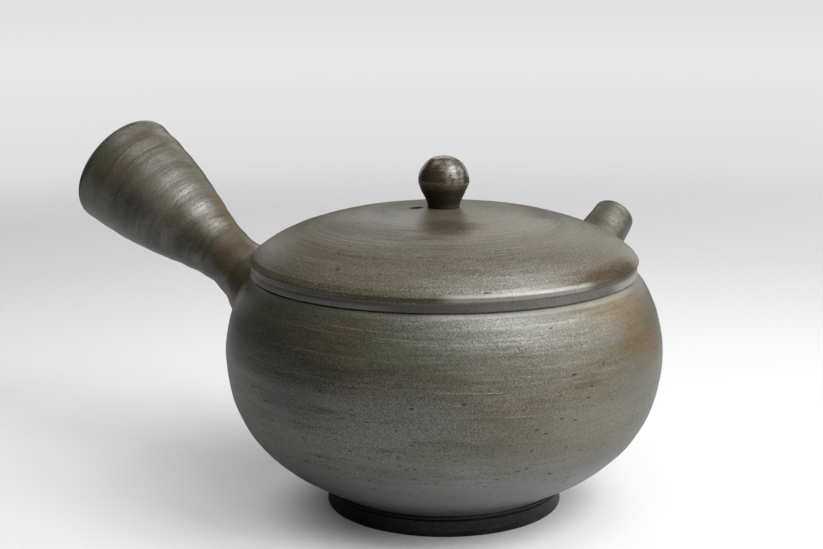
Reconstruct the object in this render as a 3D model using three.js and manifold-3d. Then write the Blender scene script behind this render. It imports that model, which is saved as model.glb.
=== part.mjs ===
// A kyusu: a wheel-thrown stoneware teapot with a side handle, a pouring spout
// at about a right angle to it and a loose domed lid. Units are millimetres and
// +Z is up. The pot stands on z = 0, its handle points along -X and its spout
// along +Y. The origin is the middle of the bounding box, on the table.

import * as THREE from "three";
import { mergeVertices, toCreasedNormals } from "three/addons/utils/BufferGeometryUtils.js";
import Module from "manifold-3d";

const wasm = await Module();
wasm.setup();

// Body: a squat thrown globe with a flat underside and a narrow mouth. It is divided level,
// below the pouring hole, into the base and the wall over it, which lie face to face.
const baseRadius = 28.45;
const bellyRadius = 52;
const bellyRise = 33.4;
const rimRadius = 45.2;
const shoulderRise = 17.9;
const bodyWall = 3;
const floorThickness = 4;
const lowerLean = THREE.MathUtils.degToRad(32);
const lowerPullShare = 0.315;
const bellyDropShare = 0.705;
const bellyRiseShare = 0.337;
const shoulderLean = THREE.MathUtils.degToRad(29.7);
const shoulderPullShare = 0.23;
const divideHeight = 24;

// Mouth: a flat rim that the lid rests on, with a short collar hanging inside.
const rimWidth = 3.8;
const rimEdge = 0.6;
const collarDepth = 4.2;

// Foot ring: turned from a darker, smoother clay, with a bead at its top edge.
const footHeight = 5;
const footRadius = 28;
const footInset = 0.5;
const footWidth = 4.4;
const footFlare = 1;
const footEdge = 0.8;
const footBead = 0.8;
const footGroove = 0.3;

// Lid: a shallow dome over a grooved lip, with a flange that drops into the mouth.
const seatGap = 0.3;
const lidRadius = 45.9;
const lidRise = 13.2;
const lidWall = 2.8;
const lidEdgePull = 8.3;
const lidEdgeLean = THREE.MathUtils.degToRad(21);
const lidCrownPull = 12.2;
const lipInset = 0.3;
const lipHeight = 1.7;
const lipEdge = 0.5;
const lipGroove = 0.7;
const flangeClearance = 0.5;
const flangeDepth = 5.5;
const flangeWidth = 2.6;
const flangeEdge = 0.7;
const steamRadius = 1.8;
const steamReach = 6.5;
const steamTurn = THREE.MathUtils.degToRad(216);

// Knob: a bulb drawn in to a narrow base.
const knobBaseRadius = 3.9;
const knobRadius = 6.05;
const knobWaistRise = 5.35;
const knobHeight = 11.6;
const knobBasePull = 1.2;
const knobWaistPull = 0.6;
const knobCrownPullShare = 0.67;
const knobTopPullShare = 0.55;

// Handle: a hollow trumpet, open at its wide end, that flares into the shoulder.
const handleTilt = THREE.MathUtils.degToRad(28.9);
const handleRootHeight = 43.4;
const handleLength = 62.2;
const handleSink = 16;
const handleRootRadius = 15.2;
const handleRootPull = 19.7;
const handleNeckReach = 16.5;
const handleNeckRadius = 7.35;
const handleNeckDraw = 11;
const handleNeckPull = 10.3;
const handleEndRadius = 15.55;
const handleEndPull = 22.5;
const handleEndTaper = 1.3;
const handleWall = 2.8;
const handleLip = 2.5;
const handleLipInside = 1.2;
const handleBoreRadius = 4.5;

// Spout: a tapering tube cut square at its tip.
const spoutTurn = THREE.MathUtils.degToRad(88);
const spoutTilt = THREE.MathUtils.degToRad(33.4);
const spoutRootHeight = 40;
const spoutLength = 34.1;
const spoutSink = 16;
const spoutRootRadius = 14;
const spoutRootPull = 17;
const spoutRootDraw = 4.8;
const spoutTipRadius = 5.6;
const spoutTipPull = 18;
const spoutTipTaper = 1.4;
const spoutTipBore = 3.9;
const spoutWall = 2.1;
const spoutEdge = 0.6;
const pourRadius = 8;

// Strainer: a pierced ball of clay set over the pouring hole, inside the pot.
const strainerRadius = 12.4;
const strainerWall = 1.6;
const strainerHoleRadius = 1;
const strainerHolePitch = 3.7;
const strainerHoleRings = 4;

// Gaps and counts.
const luteGap = 0.3;
const lidSpace = 0.9;
const overrun = 5;
const potSides = 52;
const handleSides = 28;
const spoutSides = 26;
const knobSides = 26;
const ballSides = 22;
const steamSides = 14;
const pierceSides = 6;
const longCurveSteps = 10;
const curveSteps = 7;
const boreSteps = 5;
const arcSteps = 1;
const creaseAngle = THREE.MathUtils.degToRad(30);

// Heights that follow from the sizes above.
const bellyHeight = footHeight + bellyRise;
const rimHeight = bellyHeight + shoulderRise;
const mouthRadius = rimRadius - rimWidth;
const seatHeight = rimHeight + seatGap;
const lidEdgeHeight = seatHeight + lipHeight + lipGroove;
const crownHeight = lidEdgeHeight + lidRise;

// Turns a closed profile, radius first and height second, about +Z.
function revolve(profile, sides) {
  const geometry = new THREE.LatheGeometry(profile, sides);
  return geometry.rotateX(Math.PI / 2);
}

// Makes a solid for cutting and joining from a closed geometry.
function toSolid(geometry) {
  const bare = geometry.clone();
  bare.deleteAttribute("normal");
  bare.deleteAttribute("uv");
  const merged = mergeVertices(bare);
  return new wasm.Manifold(
    new wasm.Mesh({
      numProp: 3,
      vertProperties: new Float32Array(merged.attributes.position.array),
      triVerts: new Uint32Array(merged.index.array),
    }),
  );
}

// Gives a solid back as a geometry whose sharp edges stay crisp.
function toGeometry(solid) {
  const mesh = solid.getMesh();
  const geometry = new THREE.BufferGeometry();
  geometry.setAttribute("position", new THREE.BufferAttribute(mesh.vertProperties, 3));
  geometry.setIndex(new THREE.BufferAttribute(mesh.triVerts, 1));
  return toCreasedNormals(geometry, creaseAngle);
}

// Moves a polyline sideways along its own normals; plus is to its right.
function offsetLine(line, distance) {
  return line.map((point, i) => {
    const before = line[Math.max(i - 1, 0)];
    const after = line[Math.min(i + 1, line.length - 1)];
    const along = after.clone().sub(before).normalize();
    return new THREE.Vector2(point.x + along.y * distance, point.y - along.x * distance);
  });
}

// Points of a cubic curve from start to end, with both ends.
function curveLine(start, startPull, endPull, end, divisions) {
  return new THREE.CubicBezierCurve(start, startPull, endPull, end).getPoints(divisions);
}

const vec = (x, y) => new THREE.Vector2(x, y);

// A point at a distance from another, in the direction of an angle.
function polar(from, angle, distance) {
  return vec(from.x + Math.cos(angle) * distance, from.y + Math.sin(angle) * distance);
}

// The outside of the body from the edge of its underside up to the rim.
function bodyOutline() {
  const base = vec(baseRadius, footHeight);
  const belly = vec(bellyRadius, bellyHeight);
  const rim = vec(rimRadius, rimHeight);
  const lower = curveLine(
    base,
    polar(base, lowerLean, lowerPullShare * (bellyRadius - baseRadius)),
    vec(bellyRadius, bellyHeight - bellyDropShare * bellyRise),
    belly,
    longCurveSteps,
  );
  const upper = curveLine(
    belly,
    vec(bellyRadius, bellyHeight + bellyRiseShare * shoulderRise),
    polar(rim, -shoulderLean, shoulderPullShare * shoulderRise),
    rim,
    curveSteps,
  );
  return [...lower, ...upper.slice(1)];
}

// The tea chamber's wall from its floor up to the underside of the collar.
function chamberOutline(gap) {
  const floorHeight = footHeight + floorThickness + gap;
  const ceiling = rimHeight - collarDepth - gap;
  const wall = offsetLine(bodyOutline(), -bodyWall - gap);
  return wall.filter((point) => point.y > floorHeight && point.y < ceiling);
}

// The whole thrown globe as one solid.
function throwBody() {
  const wall = chamberOutline(0);
  const floor = footHeight + floorThickness;
  const ceiling = rimHeight - collarDepth;
  const profile = new THREE.Path();
  profile.moveTo(mouthRadius + rimEdge, rimHeight);
  profile.absarc(mouthRadius + rimEdge, rimHeight - rimEdge, rimEdge, Math.PI / 2, Math.PI, false);
  profile.lineTo(mouthRadius, ceiling + rimEdge);
  profile.absarc(mouthRadius + rimEdge, ceiling + rimEdge, rimEdge, Math.PI, 1.5 * Math.PI, false);
  const points = [
    vec(0, footHeight),
    ...bodyOutline(),
    ...profile.getPoints(arcSteps),
    ...wall.reverse(),
    vec(wall[wall.length - 1].x, floor),
    vec(0, floor),
  ];
  const shell = toSolid(revolve(points, potSides));
  const hole = new THREE.CylinderGeometry(pourRadius, pourRadius, spoutSink + overrun, spoutSides);
  hole.rotateX(Math.PI / 2);
  hole.translate(0, 0, (overrun - spoutSink) / 2);
  hole.applyMatrix4(spoutPlace());
  return shell.subtract(toSolid(hole));
}

function makeFootRing() {
  const top = footHeight;
  const beadTop = footHeight - footBead;
  const inner = footRadius - footInset - footWidth;
  const outer = footRadius - footInset;
  const profile = new THREE.Path();
  profile.moveTo(inner + footEdge, 0);
  profile.lineTo(outer - footEdge, 0);
  profile.absarc(outer - footEdge, footEdge, footEdge, -Math.PI / 2, 0, false);
  profile.lineTo(footRadius - footGroove, beadTop - footGroove);
  profile.lineTo(footRadius - footGroove, beadTop);
  profile.lineTo(footRadius, beadTop + footGroove);
  profile.lineTo(footRadius, top);
  profile.lineTo(inner + footFlare, top);
  profile.lineTo(inner, footEdge);
  profile.absarc(inner + footEdge, footEdge, footEdge, Math.PI, 1.5 * Math.PI, false);
  return toGeometry(toSolid(revolve(closeLine(profile.getPoints(arcSteps)), potSides)));
}

// Ends a ring's profile exactly where it began and drops points drawn twice.
function closeLine(points) {
  const line = points.filter((point, i) => i === 0 || point.distanceTo(points[i - 1]) > Number.EPSILON);
  line[line.length - 1] = line[0].clone();
  return line;
}

// The top of the lid from the edge of the dome in to the knob's flat seat.
function domeOutline(steps) {
  const edge = vec(lidRadius, lidEdgeHeight);
  const crown = vec(knobBaseRadius, crownHeight);
  return curveLine(
    edge,
    polar(edge, Math.PI / 2 + lidEdgeLean, lidEdgePull),
    vec(knobBaseRadius + lidCrownPull, crownHeight),
    crown,
    steps,
  );
}

function makeLid() {
  const flangeOuter = mouthRadius - flangeClearance;
  const flangeInner = flangeOuter - flangeWidth;
  const flangeFoot = rimHeight - flangeDepth;
  const lipRadius = lidRadius - lipInset;
  const lipTop = seatHeight + lipHeight;
  const under = offsetLine(domeOutline(curveSteps), -lidWall).filter((point) => point.x < flangeInner);
  const profile = new THREE.Path();
  profile.moveTo(flangeInner, flangeFoot + flangeEdge);
  profile.lineTo(flangeInner + flangeEdge, flangeFoot);
  profile.lineTo(flangeOuter - flangeEdge, flangeFoot);
  profile.lineTo(flangeOuter, flangeFoot + flangeEdge);
  profile.lineTo(flangeOuter, seatHeight);
  profile.lineTo(lipRadius - lipEdge, seatHeight);
  profile.absarc(lipRadius - lipEdge, seatHeight + lipEdge, lipEdge, -Math.PI / 2, 0, false);
  profile.absarc(lipRadius - lipEdge, lipTop - lipEdge, lipEdge, 0, Math.PI / 2, false);
  profile.lineTo(lipRadius - lipEdge, lipTop + lipGroove / 2);
  const points = [
    vec(0, crownHeight - lidWall),
    ...under.reverse(),
    ...profile.getPoints(arcSteps),
    ...domeOutline(longCurveSteps),
    vec(0, crownHeight),
  ];
  const shell = toSolid(revolve(points, potSides));
  const steam = new THREE.CylinderGeometry(steamRadius, steamRadius, lidRise + overrun, steamSides);
  steam.rotateX(Math.PI / 2);
  steam.translate(Math.cos(steamTurn) * steamReach, Math.sin(steamTurn) * steamReach, crownHeight);
  return toGeometry(shell.subtract(toSolid(steam)));
}

function makeKnob() {
  const base = vec(knobBaseRadius, 0);
  const waist = vec(knobRadius, knobWaistRise);
  const crownRise = knobHeight - knobWaistRise;
  const lower = curveLine(
    base,
    vec(knobBaseRadius, knobBasePull),
    vec(knobRadius, knobWaistRise - knobWaistPull),
    waist,
    boreSteps,
  );
  const upper = curveLine(
    waist,
    vec(knobRadius, knobWaistRise + knobCrownPullShare * crownRise),
    vec(knobTopPullShare * knobRadius, knobHeight),
    vec(0, knobHeight),
    curveSteps,
  );
  return toGeometry(toSolid(revolve([vec(0, 0), ...lower, ...upper.slice(1)], knobSides)));
}

// Where a piece luted to the wall starts: on the belly's radius at a height,
// its own +Z leaning out of the pot and up by the tilt.
function wallPlace(turn, height, tilt) {
  const place = new THREE.Matrix4().makeRotationZ(turn);
  place.multiply(new THREE.Matrix4().makeTranslation(bellyRadius, 0, height));
  return place.multiply(new THREE.Matrix4().makeRotationY(Math.PI / 2 - tilt));
}

function spoutPlace() {
  return wallPlace(spoutTurn, spoutRootHeight, spoutTilt);
}

function handlePlace() {
  return wallPlace(Math.PI, handleRootHeight, handleTilt);
}

// All the room that the body and the lid take up, a luting gap larger.
function potRoom() {
  const outline = offsetLine(bodyOutline(), luteGap);
  const points = [
    vec(0, footHeight - luteGap),
    ...outline,
    vec(lidRadius + lidSpace, rimHeight),
    vec(lidRadius + lidSpace, crownHeight),
    vec(0, crownHeight),
  ];
  return revolve(points, potSides);
}

// Cuts away what a piece has inside the room of the pot.
function trimToPot(solid, place) {
  const room = potRoom().applyMatrix4(place.clone().invert());
  return solid.subtract(toSolid(room));
}

function makeHandle() {
  const neck = vec(handleNeckRadius, handleNeckReach);
  const endHeight = handleLength - handleLip;
  const end = vec(handleEndRadius, endHeight);
  const flare = curveLine(
    vec(handleRootRadius, -handleSink),
    vec(handleRootRadius, handleRootPull - handleSink),
    vec(handleNeckRadius, handleNeckReach - handleNeckDraw),
    neck,
    curveSteps,
  );
  const bell = curveLine(
    neck,
    vec(handleNeckRadius, handleNeckReach + handleNeckPull),
    vec(handleEndRadius - handleEndTaper, endHeight - handleEndPull),
    end,
    curveSteps,
  );
  const mouth = new THREE.Path();
  mouth.absarc(handleEndRadius - handleLip, endHeight, handleLip, 0, Math.PI / 2, false);
  mouth.absarc(
    handleEndRadius - handleWall + handleLipInside,
    handleLength - handleLipInside,
    handleLipInside,
    Math.PI / 2,
    Math.PI,
    false,
  );
  const bore = curveLine(
    vec(handleEndRadius - handleWall, handleLength - handleLipInside),
    vec(handleEndRadius - handleWall - handleEndTaper, endHeight - handleEndPull),
    vec(handleBoreRadius, handleNeckReach + handleNeckPull),
    vec(handleBoreRadius, handleNeckReach),
    boreSteps,
  );
  const points = [
    ...flare,
    ...bell.slice(1),
    ...mouth.getPoints(arcSteps),
    ...bore,
    vec(handleBoreRadius, -handleSink),
    flare[0].clone(),
  ];
  const tube = toSolid(revolve(closeLine(points), handleSides));
  return toGeometry(trimToPot(tube, handlePlace()));
}

function makeSpout() {
  const outside = curveLine(
    vec(spoutRootRadius, -spoutSink),
    vec(spoutRootRadius - spoutRootDraw, spoutRootPull - spoutSink),
    vec(spoutTipRadius + spoutTipTaper, spoutLength - spoutTipPull),
    vec(spoutTipRadius, spoutLength - spoutEdge),
    curveSteps,
  );
  const tip = new THREE.Path();
  tip.absarc(spoutTipRadius - spoutEdge, spoutLength - spoutEdge, spoutEdge, 0, Math.PI / 2, false);
  const bore = curveLine(
    vec(spoutTipBore, spoutLength),
    vec(spoutTipRadius + spoutTipTaper - spoutWall, spoutLength - spoutTipPull),
    vec(pourRadius - spoutTipTaper / 2, spoutRootPull - spoutSink),
    vec(pourRadius, -spoutSink),
    boreSteps,
  );
  const points = [...outside, ...tip.getPoints(arcSteps), ...bore, outside[0].clone()];
  const tube = toSolid(revolve(closeLine(points), spoutSides));
  return toGeometry(trimToPot(tube, spoutPlace()));
}

// Rings of holes over the part of the ball that stands out into the chamber.
function strainerHoles() {
  const pitchAngle = strainerHolePitch / strainerRadius;
  const places = [{ lean: 0, turn: 0 }];
  for (let ring = 1; ring < strainerHoleRings; ring += 1) {
    const lean = ring * pitchAngle;
    const count = Math.floor((2 * Math.PI * Math.sin(lean)) / pitchAngle);
    for (let i = 0; i < count; i += 1) {
      places.push({ lean, turn: (2 * Math.PI * (i + ring / 2)) / count });
    }
  }
  return places;
}

function makeStrainer() {
  const outer = new THREE.SphereGeometry(strainerRadius, ballSides, ballSides / 2);
  const inner = new THREE.SphereGeometry(strainerRadius - strainerWall, ballSides, ballSides / 2);
  let ball = toSolid(outer).subtract(toSolid(inner));
  for (const { lean, turn } of strainerHoles()) {
    const drill = new THREE.CylinderGeometry(
      strainerHoleRadius,
      strainerHoleRadius,
      strainerRadius,
      pierceSides,
    );
    drill.translate(0, -strainerRadius, 0);
    drill.rotateX(Math.PI / 2);
    drill.rotateY(lean);
    drill.rotateZ(turn);
    ball = ball.subtract(toSolid(drill));
  }
  const points = [vec(0, footHeight + floorThickness + luteGap), ...chamberOutline(luteGap)];
  const ceiling = points[points.length - 1].y;
  const chamber = revolve([...points, vec(0, ceiling)], potSides);
  chamber.applyMatrix4(spoutPlace().multiply(strainerOffset()).invert());
  return toGeometry(ball.intersect(toSolid(chamber)));
}

// The ball's middle lies on the spout's axis, in the inner face of the wall.
function strainerOffset() {
  return new THREE.Matrix4().makeTranslation(0, 0, -bodyWall / Math.cos(spoutTilt));
}

function stoneware(color, roughness, metalness) {
  return new THREE.MeshStandardMaterial({ color, roughness, metalness });
}

function piece(name, geometry, material, place) {
  const mesh = new THREE.Mesh(geometry, material);
  mesh.name = name;
  if (place) place.decompose(mesh.position, mesh.quaternion, mesh.scale);
  return mesh;
}

const teapot = new THREE.Group();
const pot = new THREE.Group();
const cover = new THREE.Group();
cover.position.z = crownHeight;

const [upper, lower] = throwBody().splitByPlane([0, 0, 1], divideHeight);
pot.add(piece("body", toGeometry(upper), stoneware("#57544a", 0.5, 0.25)));
pot.add(piece("base", toGeometry(lower), stoneware("#57544a", 0.5, 0.25)));
pot.add(piece("foot_ring", makeFootRing(), stoneware("#1c1b1a", 0.55, 0.1)));
pot.add(piece("handle", makeHandle(), stoneware("#544c3f", 0.5, 0.25), handlePlace()));
pot.add(piece("spout", makeSpout(), stoneware("#5b574c", 0.5, 0.25), spoutPlace()));
pot.add(
  piece("strainer", makeStrainer(), stoneware("#4c4941", 0.7, 0.05), spoutPlace().multiply(strainerOffset())),
);
cover.add(piece("lid", makeLid().translate(0, 0, -crownHeight), stoneware("#5a564b", 0.45, 0.3)));
cover.add(piece("knob", makeKnob(), stoneware("#453a2e", 0.35, 0.3)));

teapot.add(pot, cover);
teapot.updateMatrixWorld(true);
const bounds = new THREE.Box3().setFromObject(teapot, true);
const middle = bounds.getCenter(new THREE.Vector3());
teapot.position.set(-middle.x, -middle.y, -bounds.min.z);
teapot.updateMatrixWorld(true);

export default teapot;
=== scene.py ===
"""A side-handled stoneware teapot, dressed for a plain studio picture.

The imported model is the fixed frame. Every new surface is worked out in its coordinates, in metres,
from sizes written in millimetres along the pot's own axis, and stands for the node of the same name.
"""

import logging
import math
from dataclasses import dataclass, field
from enum import Enum
from functools import partial, reduce

import bpy
import numpy as np
from mathutils import Matrix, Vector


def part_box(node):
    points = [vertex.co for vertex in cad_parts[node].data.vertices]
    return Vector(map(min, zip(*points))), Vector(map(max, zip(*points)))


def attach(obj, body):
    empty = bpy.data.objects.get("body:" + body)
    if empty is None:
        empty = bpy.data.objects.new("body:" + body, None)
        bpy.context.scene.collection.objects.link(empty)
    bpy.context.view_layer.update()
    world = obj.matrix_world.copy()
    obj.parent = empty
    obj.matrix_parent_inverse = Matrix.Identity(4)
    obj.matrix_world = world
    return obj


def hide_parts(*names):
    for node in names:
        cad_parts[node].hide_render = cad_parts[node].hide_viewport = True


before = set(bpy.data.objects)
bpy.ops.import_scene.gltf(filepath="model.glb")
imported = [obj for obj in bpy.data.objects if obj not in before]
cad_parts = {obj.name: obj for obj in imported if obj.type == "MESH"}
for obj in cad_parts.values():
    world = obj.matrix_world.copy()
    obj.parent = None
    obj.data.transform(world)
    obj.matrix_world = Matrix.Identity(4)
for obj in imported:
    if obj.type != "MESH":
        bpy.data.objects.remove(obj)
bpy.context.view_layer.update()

MM = 0.001
PICTURE_WIDTH_PX = 823
SENSOR_WIDTH_MM = 36.0

log = logging.getLogger("teapot")

Array = np.ndarray
Object = bpy.types.Object
Socket = bpy.types.NodeSocket
Value = Socket | float
Colour = tuple[float, float, float]
Place = tuple[float, float, float]
Point = tuple[float, float]


class Body(Enum):
    """The rigid bodies that a piece can ride on."""

    POT = "pot"
    LID = "lid"


# Curves and grids


def bezier(*controls: Point, count: int) -> Array:
    """Samples a cubic curve: each point is the Bernstein-weighted mean of the four controls.

    Args:
        controls: First point, the controls next to it and next to the last point, and the last point.
        count: Number of samples, both ends among them.

    Returns:
        Radius and height of each sample.
    """
    t = np.linspace(0.0, 1.0, count)[:, None]
    weights = (1 - t) ** 3, 3 * t * (1 - t) ** 2, 3 * t**2 * (1 - t), t**3
    return sum(weight * np.array(point, float) for weight, point in zip(weights, controls))


def arc(centre: Point, radius: float, start_deg: float, end_deg: float, count: int) -> Array:
    """Samples a circle's arc: centre plus radius times cosine and sine of evenly spaced angles.

    Args:
        centre: Middle of the circle.
        radius: Radius of the circle.
        start_deg: First angle, anticlockwise from the outward direction.
        end_deg: Last angle.
        count: Number of samples.

    Returns:
        Radius and height of each sample.
    """
    angles = np.radians(np.linspace(start_deg, end_deg, count))
    return np.array(centre, float) + radius * np.column_stack([np.cos(angles), np.sin(angles)])


def joined(*parts: Array) -> Array:
    """Joins stretches of a profile and drops points that repeat the one before."""
    points = np.vstack(parts)
    return points[np.concatenate([[True], np.linalg.norm(np.diff(points, axis=0), axis=1) > 1e-6])]


def polar_step(start: Point, angle_deg: float, distance: float) -> Point:
    """Returns the point at a distance from another, in the direction of an angle."""
    angle = math.radians(angle_deg)
    return start[0] + math.cos(angle) * distance, start[1] + math.sin(angle) * distance


def outward(profile: Array) -> Array:
    """Unit normals to a profile's right: the difference of two neighbours, a quarter turn clockwise.

    Args:
        profile: Radius and height of each point.

    Returns:
        One unit vector for each point.
    """
    along = np.gradient(profile, axis=0)
    normals = np.column_stack([along[:, 1], -along[:, 0]])
    return normals / np.maximum(np.linalg.norm(normals, axis=1, keepdims=True), 1e-12)


def arc_length(profile: Array) -> Array:
    """Distance along a profile from its first point to each of its points."""
    return np.concatenate([[0.0], np.cumsum(np.linalg.norm(np.diff(profile, axis=0), axis=1))])


def spaced_turns(columns: int) -> Array:
    """Evenly spaced turns about an axis in radians, one for each column of a grid."""
    return np.linspace(0, 2 * np.pi, columns, endpoint=False)


def around(radius: Array, height: Array, columns: int) -> Array:
    """Places points about +Z: x and y are radius times cosine and sine of the column's turn."""
    turn = spaced_turns(columns)
    return np.stack([radius * np.cos(turn), radius * np.sin(turn), height + 0 * turn], -1)


def turned(profile: Array, columns: int) -> Array:
    """Turns a profile about +Z into points in rows and columns."""
    return around(profile[:, :1], profile[:, 1:], columns)


@dataclass(frozen=True)
class Ripple:
    """A sum of sines that stands for the marks of a thrower's fingers.

    Attributes:
        seed: Start of the random draw for the waves.
        waves: Number of sines.
        pitch: Shortest and longest wave along the profile, in millimetres.
        height: Root mean square height, in millimetres.
        swirl: Most turns of drift that a wave makes in one turn of the wheel.
    """

    seed: int
    waves: int
    pitch: Point
    height: float
    swirl: int = 1

    def at(self, along: Array, turn: Array) -> Array:
        """Height of the ripples: a sum of sines of distance over pitch plus a whole number of turns.

        Args:
            along: Distance along the profile, in millimetres.
            turn: Angle round the wheel's axis, in radians.

        Returns:
            Heights in millimetres.
        """
        rng = np.random.default_rng(self.seed)
        pitches = np.exp(rng.uniform(*np.log(self.pitch), self.waves))
        phases = rng.uniform(0, 2 * np.pi, self.waves)
        drifts = rng.integers(-self.swirl, self.swirl + 1, self.waves)
        waves = (
            np.sin(2 * np.pi * along / pitch + phase + drift * turn + 0.6 * np.sin(turn + phase * 2))
            for pitch, phase, drift in zip(pitches, phases, drifts)
        )
        return sum(waves) * self.height / math.sqrt(self.waves / 2)


def rippled(profile: Array, columns: int, ripples: tuple[Ripple, ...], fade: Array) -> Array:
    """Turns a profile about +Z and lifts it along its normals by the ripples times their fade.

    Args:
        profile: Radius and height of each row.
        columns: Number of vertices in a row.
        ripples: Marks of the wheel.
        fade: Share of the ripples at each row.

    Returns:
        Points in rows and columns.
    """
    along, turn = arc_length(profile)[:, None], spaced_turns(columns)
    lift = sum(ripple.at(along, turn) for ripple in ripples) * fade[:, None]
    return turned(profile, columns) + turned(outward(profile), columns) * lift[..., None]


def fillet_lift(gap: Array, reach: float) -> Array:
    """Lift that rounds the corner between two surfaces.

    The rounded corner is the curve where the square roots of the two gaps add up to the root of the
    reach. Each surface is lifted up to its middle, where both gaps are a quarter of the reach.

    Args:
        gap: Distance to the other surface, in millimetres.
        reach: Distance at which the rounding begins.

    Returns:
        The lift of each point, in millimetres.
    """
    return (math.sqrt(reach) - np.sqrt(np.clip(gap, reach / 4, reach))) ** 2


# The pot's own frame of reference, and meshes


def pot_centre() -> Array:
    """The pot's axis on the table, in metres: the middle of the foot ring's box."""
    low, high = (np.array(corner, float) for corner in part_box("foot_ring"))
    return (low + high) / 2 * (1, 1, 0)


def to_frame(points: Array | Place) -> Array:
    """Turns millimetres about the pot's axis into metres in the frame."""
    return np.array(points, float) * MM + pot_centre()


@dataclass(frozen=True)
class Axis:
    """A wheel-thrown piece's own axis.

    Attributes:
        foot: Point of the axis at length zero, in millimetres from the pot's axis on the table.
        turn_deg: Direction that the axis leans towards, anticlockwise from +X.
        rise_deg: Angle of the axis over the table.
    """

    foot: Place = (0.0, 0.0, 0.0)
    turn_deg: float = 0.0
    rise_deg: float = 90.0

    def base(self) -> Array:
        """The piece's own X, Y and Z: down across the axis, level across it, and along it.

        Returns:
            One unit vector in each row.
        """
        turn, rise = math.radians(self.turn_deg), math.radians(self.rise_deg)
        along = np.array([math.cos(turn) * math.cos(rise), math.sin(turn) * math.cos(rise), math.sin(rise)])
        level = np.array([-math.sin(turn), math.cos(turn), 0.0])
        return np.array([np.cross(level, along), level, along])

    def euler(self) -> Place:
        """The turn that takes the piece's own +Z onto its axis, as XYZ angles for a Mapping node."""
        return 0.0, math.radians(90 - self.rise_deg), math.radians(self.turn_deg)

    def world(self, points: Array) -> Array:
        """Turns points of the piece's own frame into points about the pot's axis, both in millimetres."""
        return points @ self.base() + np.array(self.foot)

    def local(self, points: Array) -> Array:
        """Turns points about the pot's axis into the piece's own frame, both in millimetres."""
        return (points - np.array(self.foot)) @ self.base().T


def grid_faces(rows: int, columns: int, closed_rows: bool) -> Array:
    """Quads of a grid whose columns wrap round, wound so that a profile's right side is outside.

    Vertex r, c has index r times columns plus c; a quad joins rows r and r + 1, columns c and c + 1.

    Args:
        rows: Number of rows of vertices.
        columns: Number of vertices in a row.
        closed_rows: Whether the last row joins the first.

    Returns:
        An array of four indices a quad.
    """
    r = np.arange(rows if closed_rows else rows - 1)[:, None] * columns
    c = np.arange(columns)
    below, after = (r + columns) % (rows * columns), (c + 1) % columns
    return np.stack([r + c, r + after, below + after, below + c], -1).reshape(-1, 4)


def new_mesh(name: str, points: Array, faces: list[Array]) -> Object:
    """Makes a smooth-shaded object at the origin from arrays.

    Args:
        name: Name of the object and its mesh.
        points: Vertices in metres.
        faces: Arrays of faces, each with one number of corners.

    Returns:
        The object, linked to the scene.
    """
    mesh = bpy.data.meshes.new(name)
    mesh.vertices.add(len(points))
    mesh.vertices.foreach_set("co", np.ascontiguousarray(points, np.float32).ravel())
    corners = np.concatenate([block.ravel() for block in faces]).astype(np.int32)
    totals = np.concatenate([np.full(len(block), block.shape[1]) for block in faces])
    mesh.loops.add(len(corners))
    mesh.loops.foreach_set("vertex_index", corners)
    mesh.polygons.add(len(totals))
    mesh.polygons.foreach_set("loop_start", np.concatenate([[0], np.cumsum(totals)[:-1]]).astype(np.int32))
    mesh.polygons.foreach_set("use_smooth", np.ones(len(totals), bool))
    mesh.update(calc_edges=True)
    mesh.validate()
    made = bpy.data.objects.new(name, mesh)
    bpy.context.scene.collection.objects.link(made)
    return made


def solid(name: str, grid: Array, axis: Axis | None = None, capped: bool = True) -> Object:
    """Makes a closed piece of a turned grid.

    Args:
        name: Name of the piece.
        grid: Points in rows and columns, in the piece's own frame.
        axis: The piece's axis, or None for the pot's own.
        capped: Whether the first and last rows lie on the axis, where each shrinks to one point that
            triangles join to the next row. Otherwise the last row is joined to the first.

    Returns:
        The closed piece.
    """
    rows, columns = grid.shape[:2]
    points, faces = grid.reshape(-1, 3), [grid_faces(rows, columns, True)]
    if capped:
        points = np.vstack([grid[1:-1].reshape(-1, 3), grid[0].mean(0), grid[-1].mean(0)])
        start, column = np.full(columns, len(points) - 2), np.arange(columns)
        after, last = (column + 1) % columns, (rows - 3) * columns
        first_fan = np.column_stack([start, after, column])
        last_fan = np.column_stack([start + 1, last + column, last + after])
        faces = [grid_faces(rows - 2, columns, False), first_fan, last_fan]
    return new_mesh(name, to_frame(axis.world(points) if axis else points), faces)


def cut(piece: Object, cutters: list[Object]) -> None:
    """Takes closed cutters out of a closed piece, applies the cuts and deletes the cutters.

    Args:
        piece: The piece that is cut.
        cutters: Closed meshes that don't stay in the scene.
    """
    for cutter in cutters:
        step = piece.modifiers.new("cut", "BOOLEAN")
        step.operation = "DIFFERENCE"
        step.solver = "EXACT"
        step.object = cutter
    result = bpy.data.meshes.new_from_object(piece.evaluated_get(bpy.context.evaluated_depsgraph_get()))
    piece.modifiers.clear()
    old, name = piece.data, piece.data.name
    piece.data = result
    bpy.data.meshes.remove(old)
    result.name = name
    for cutter in cutters:
        bpy.data.objects.remove(cutter)


def stand(name: str, data: bpy.types.ID, axes: list[Array], place: Array) -> Object:
    """Adds a camera or a lamp.

    Args:
        name: Name of the object.
        data: Its camera or lamp data.
        axes: Its X, Y and Z as unit vectors.
        place: Its place in metres.

    Returns:
        The object, linked to the scene.
    """
    made = bpy.data.objects.new(name, data)
    bpy.context.scene.collection.objects.link(made)
    matrix = np.eye(4)
    matrix[:3] = np.column_stack([*axes, place])
    made.matrix_world = Matrix(matrix.tolist())
    return made


# Node trees


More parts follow.
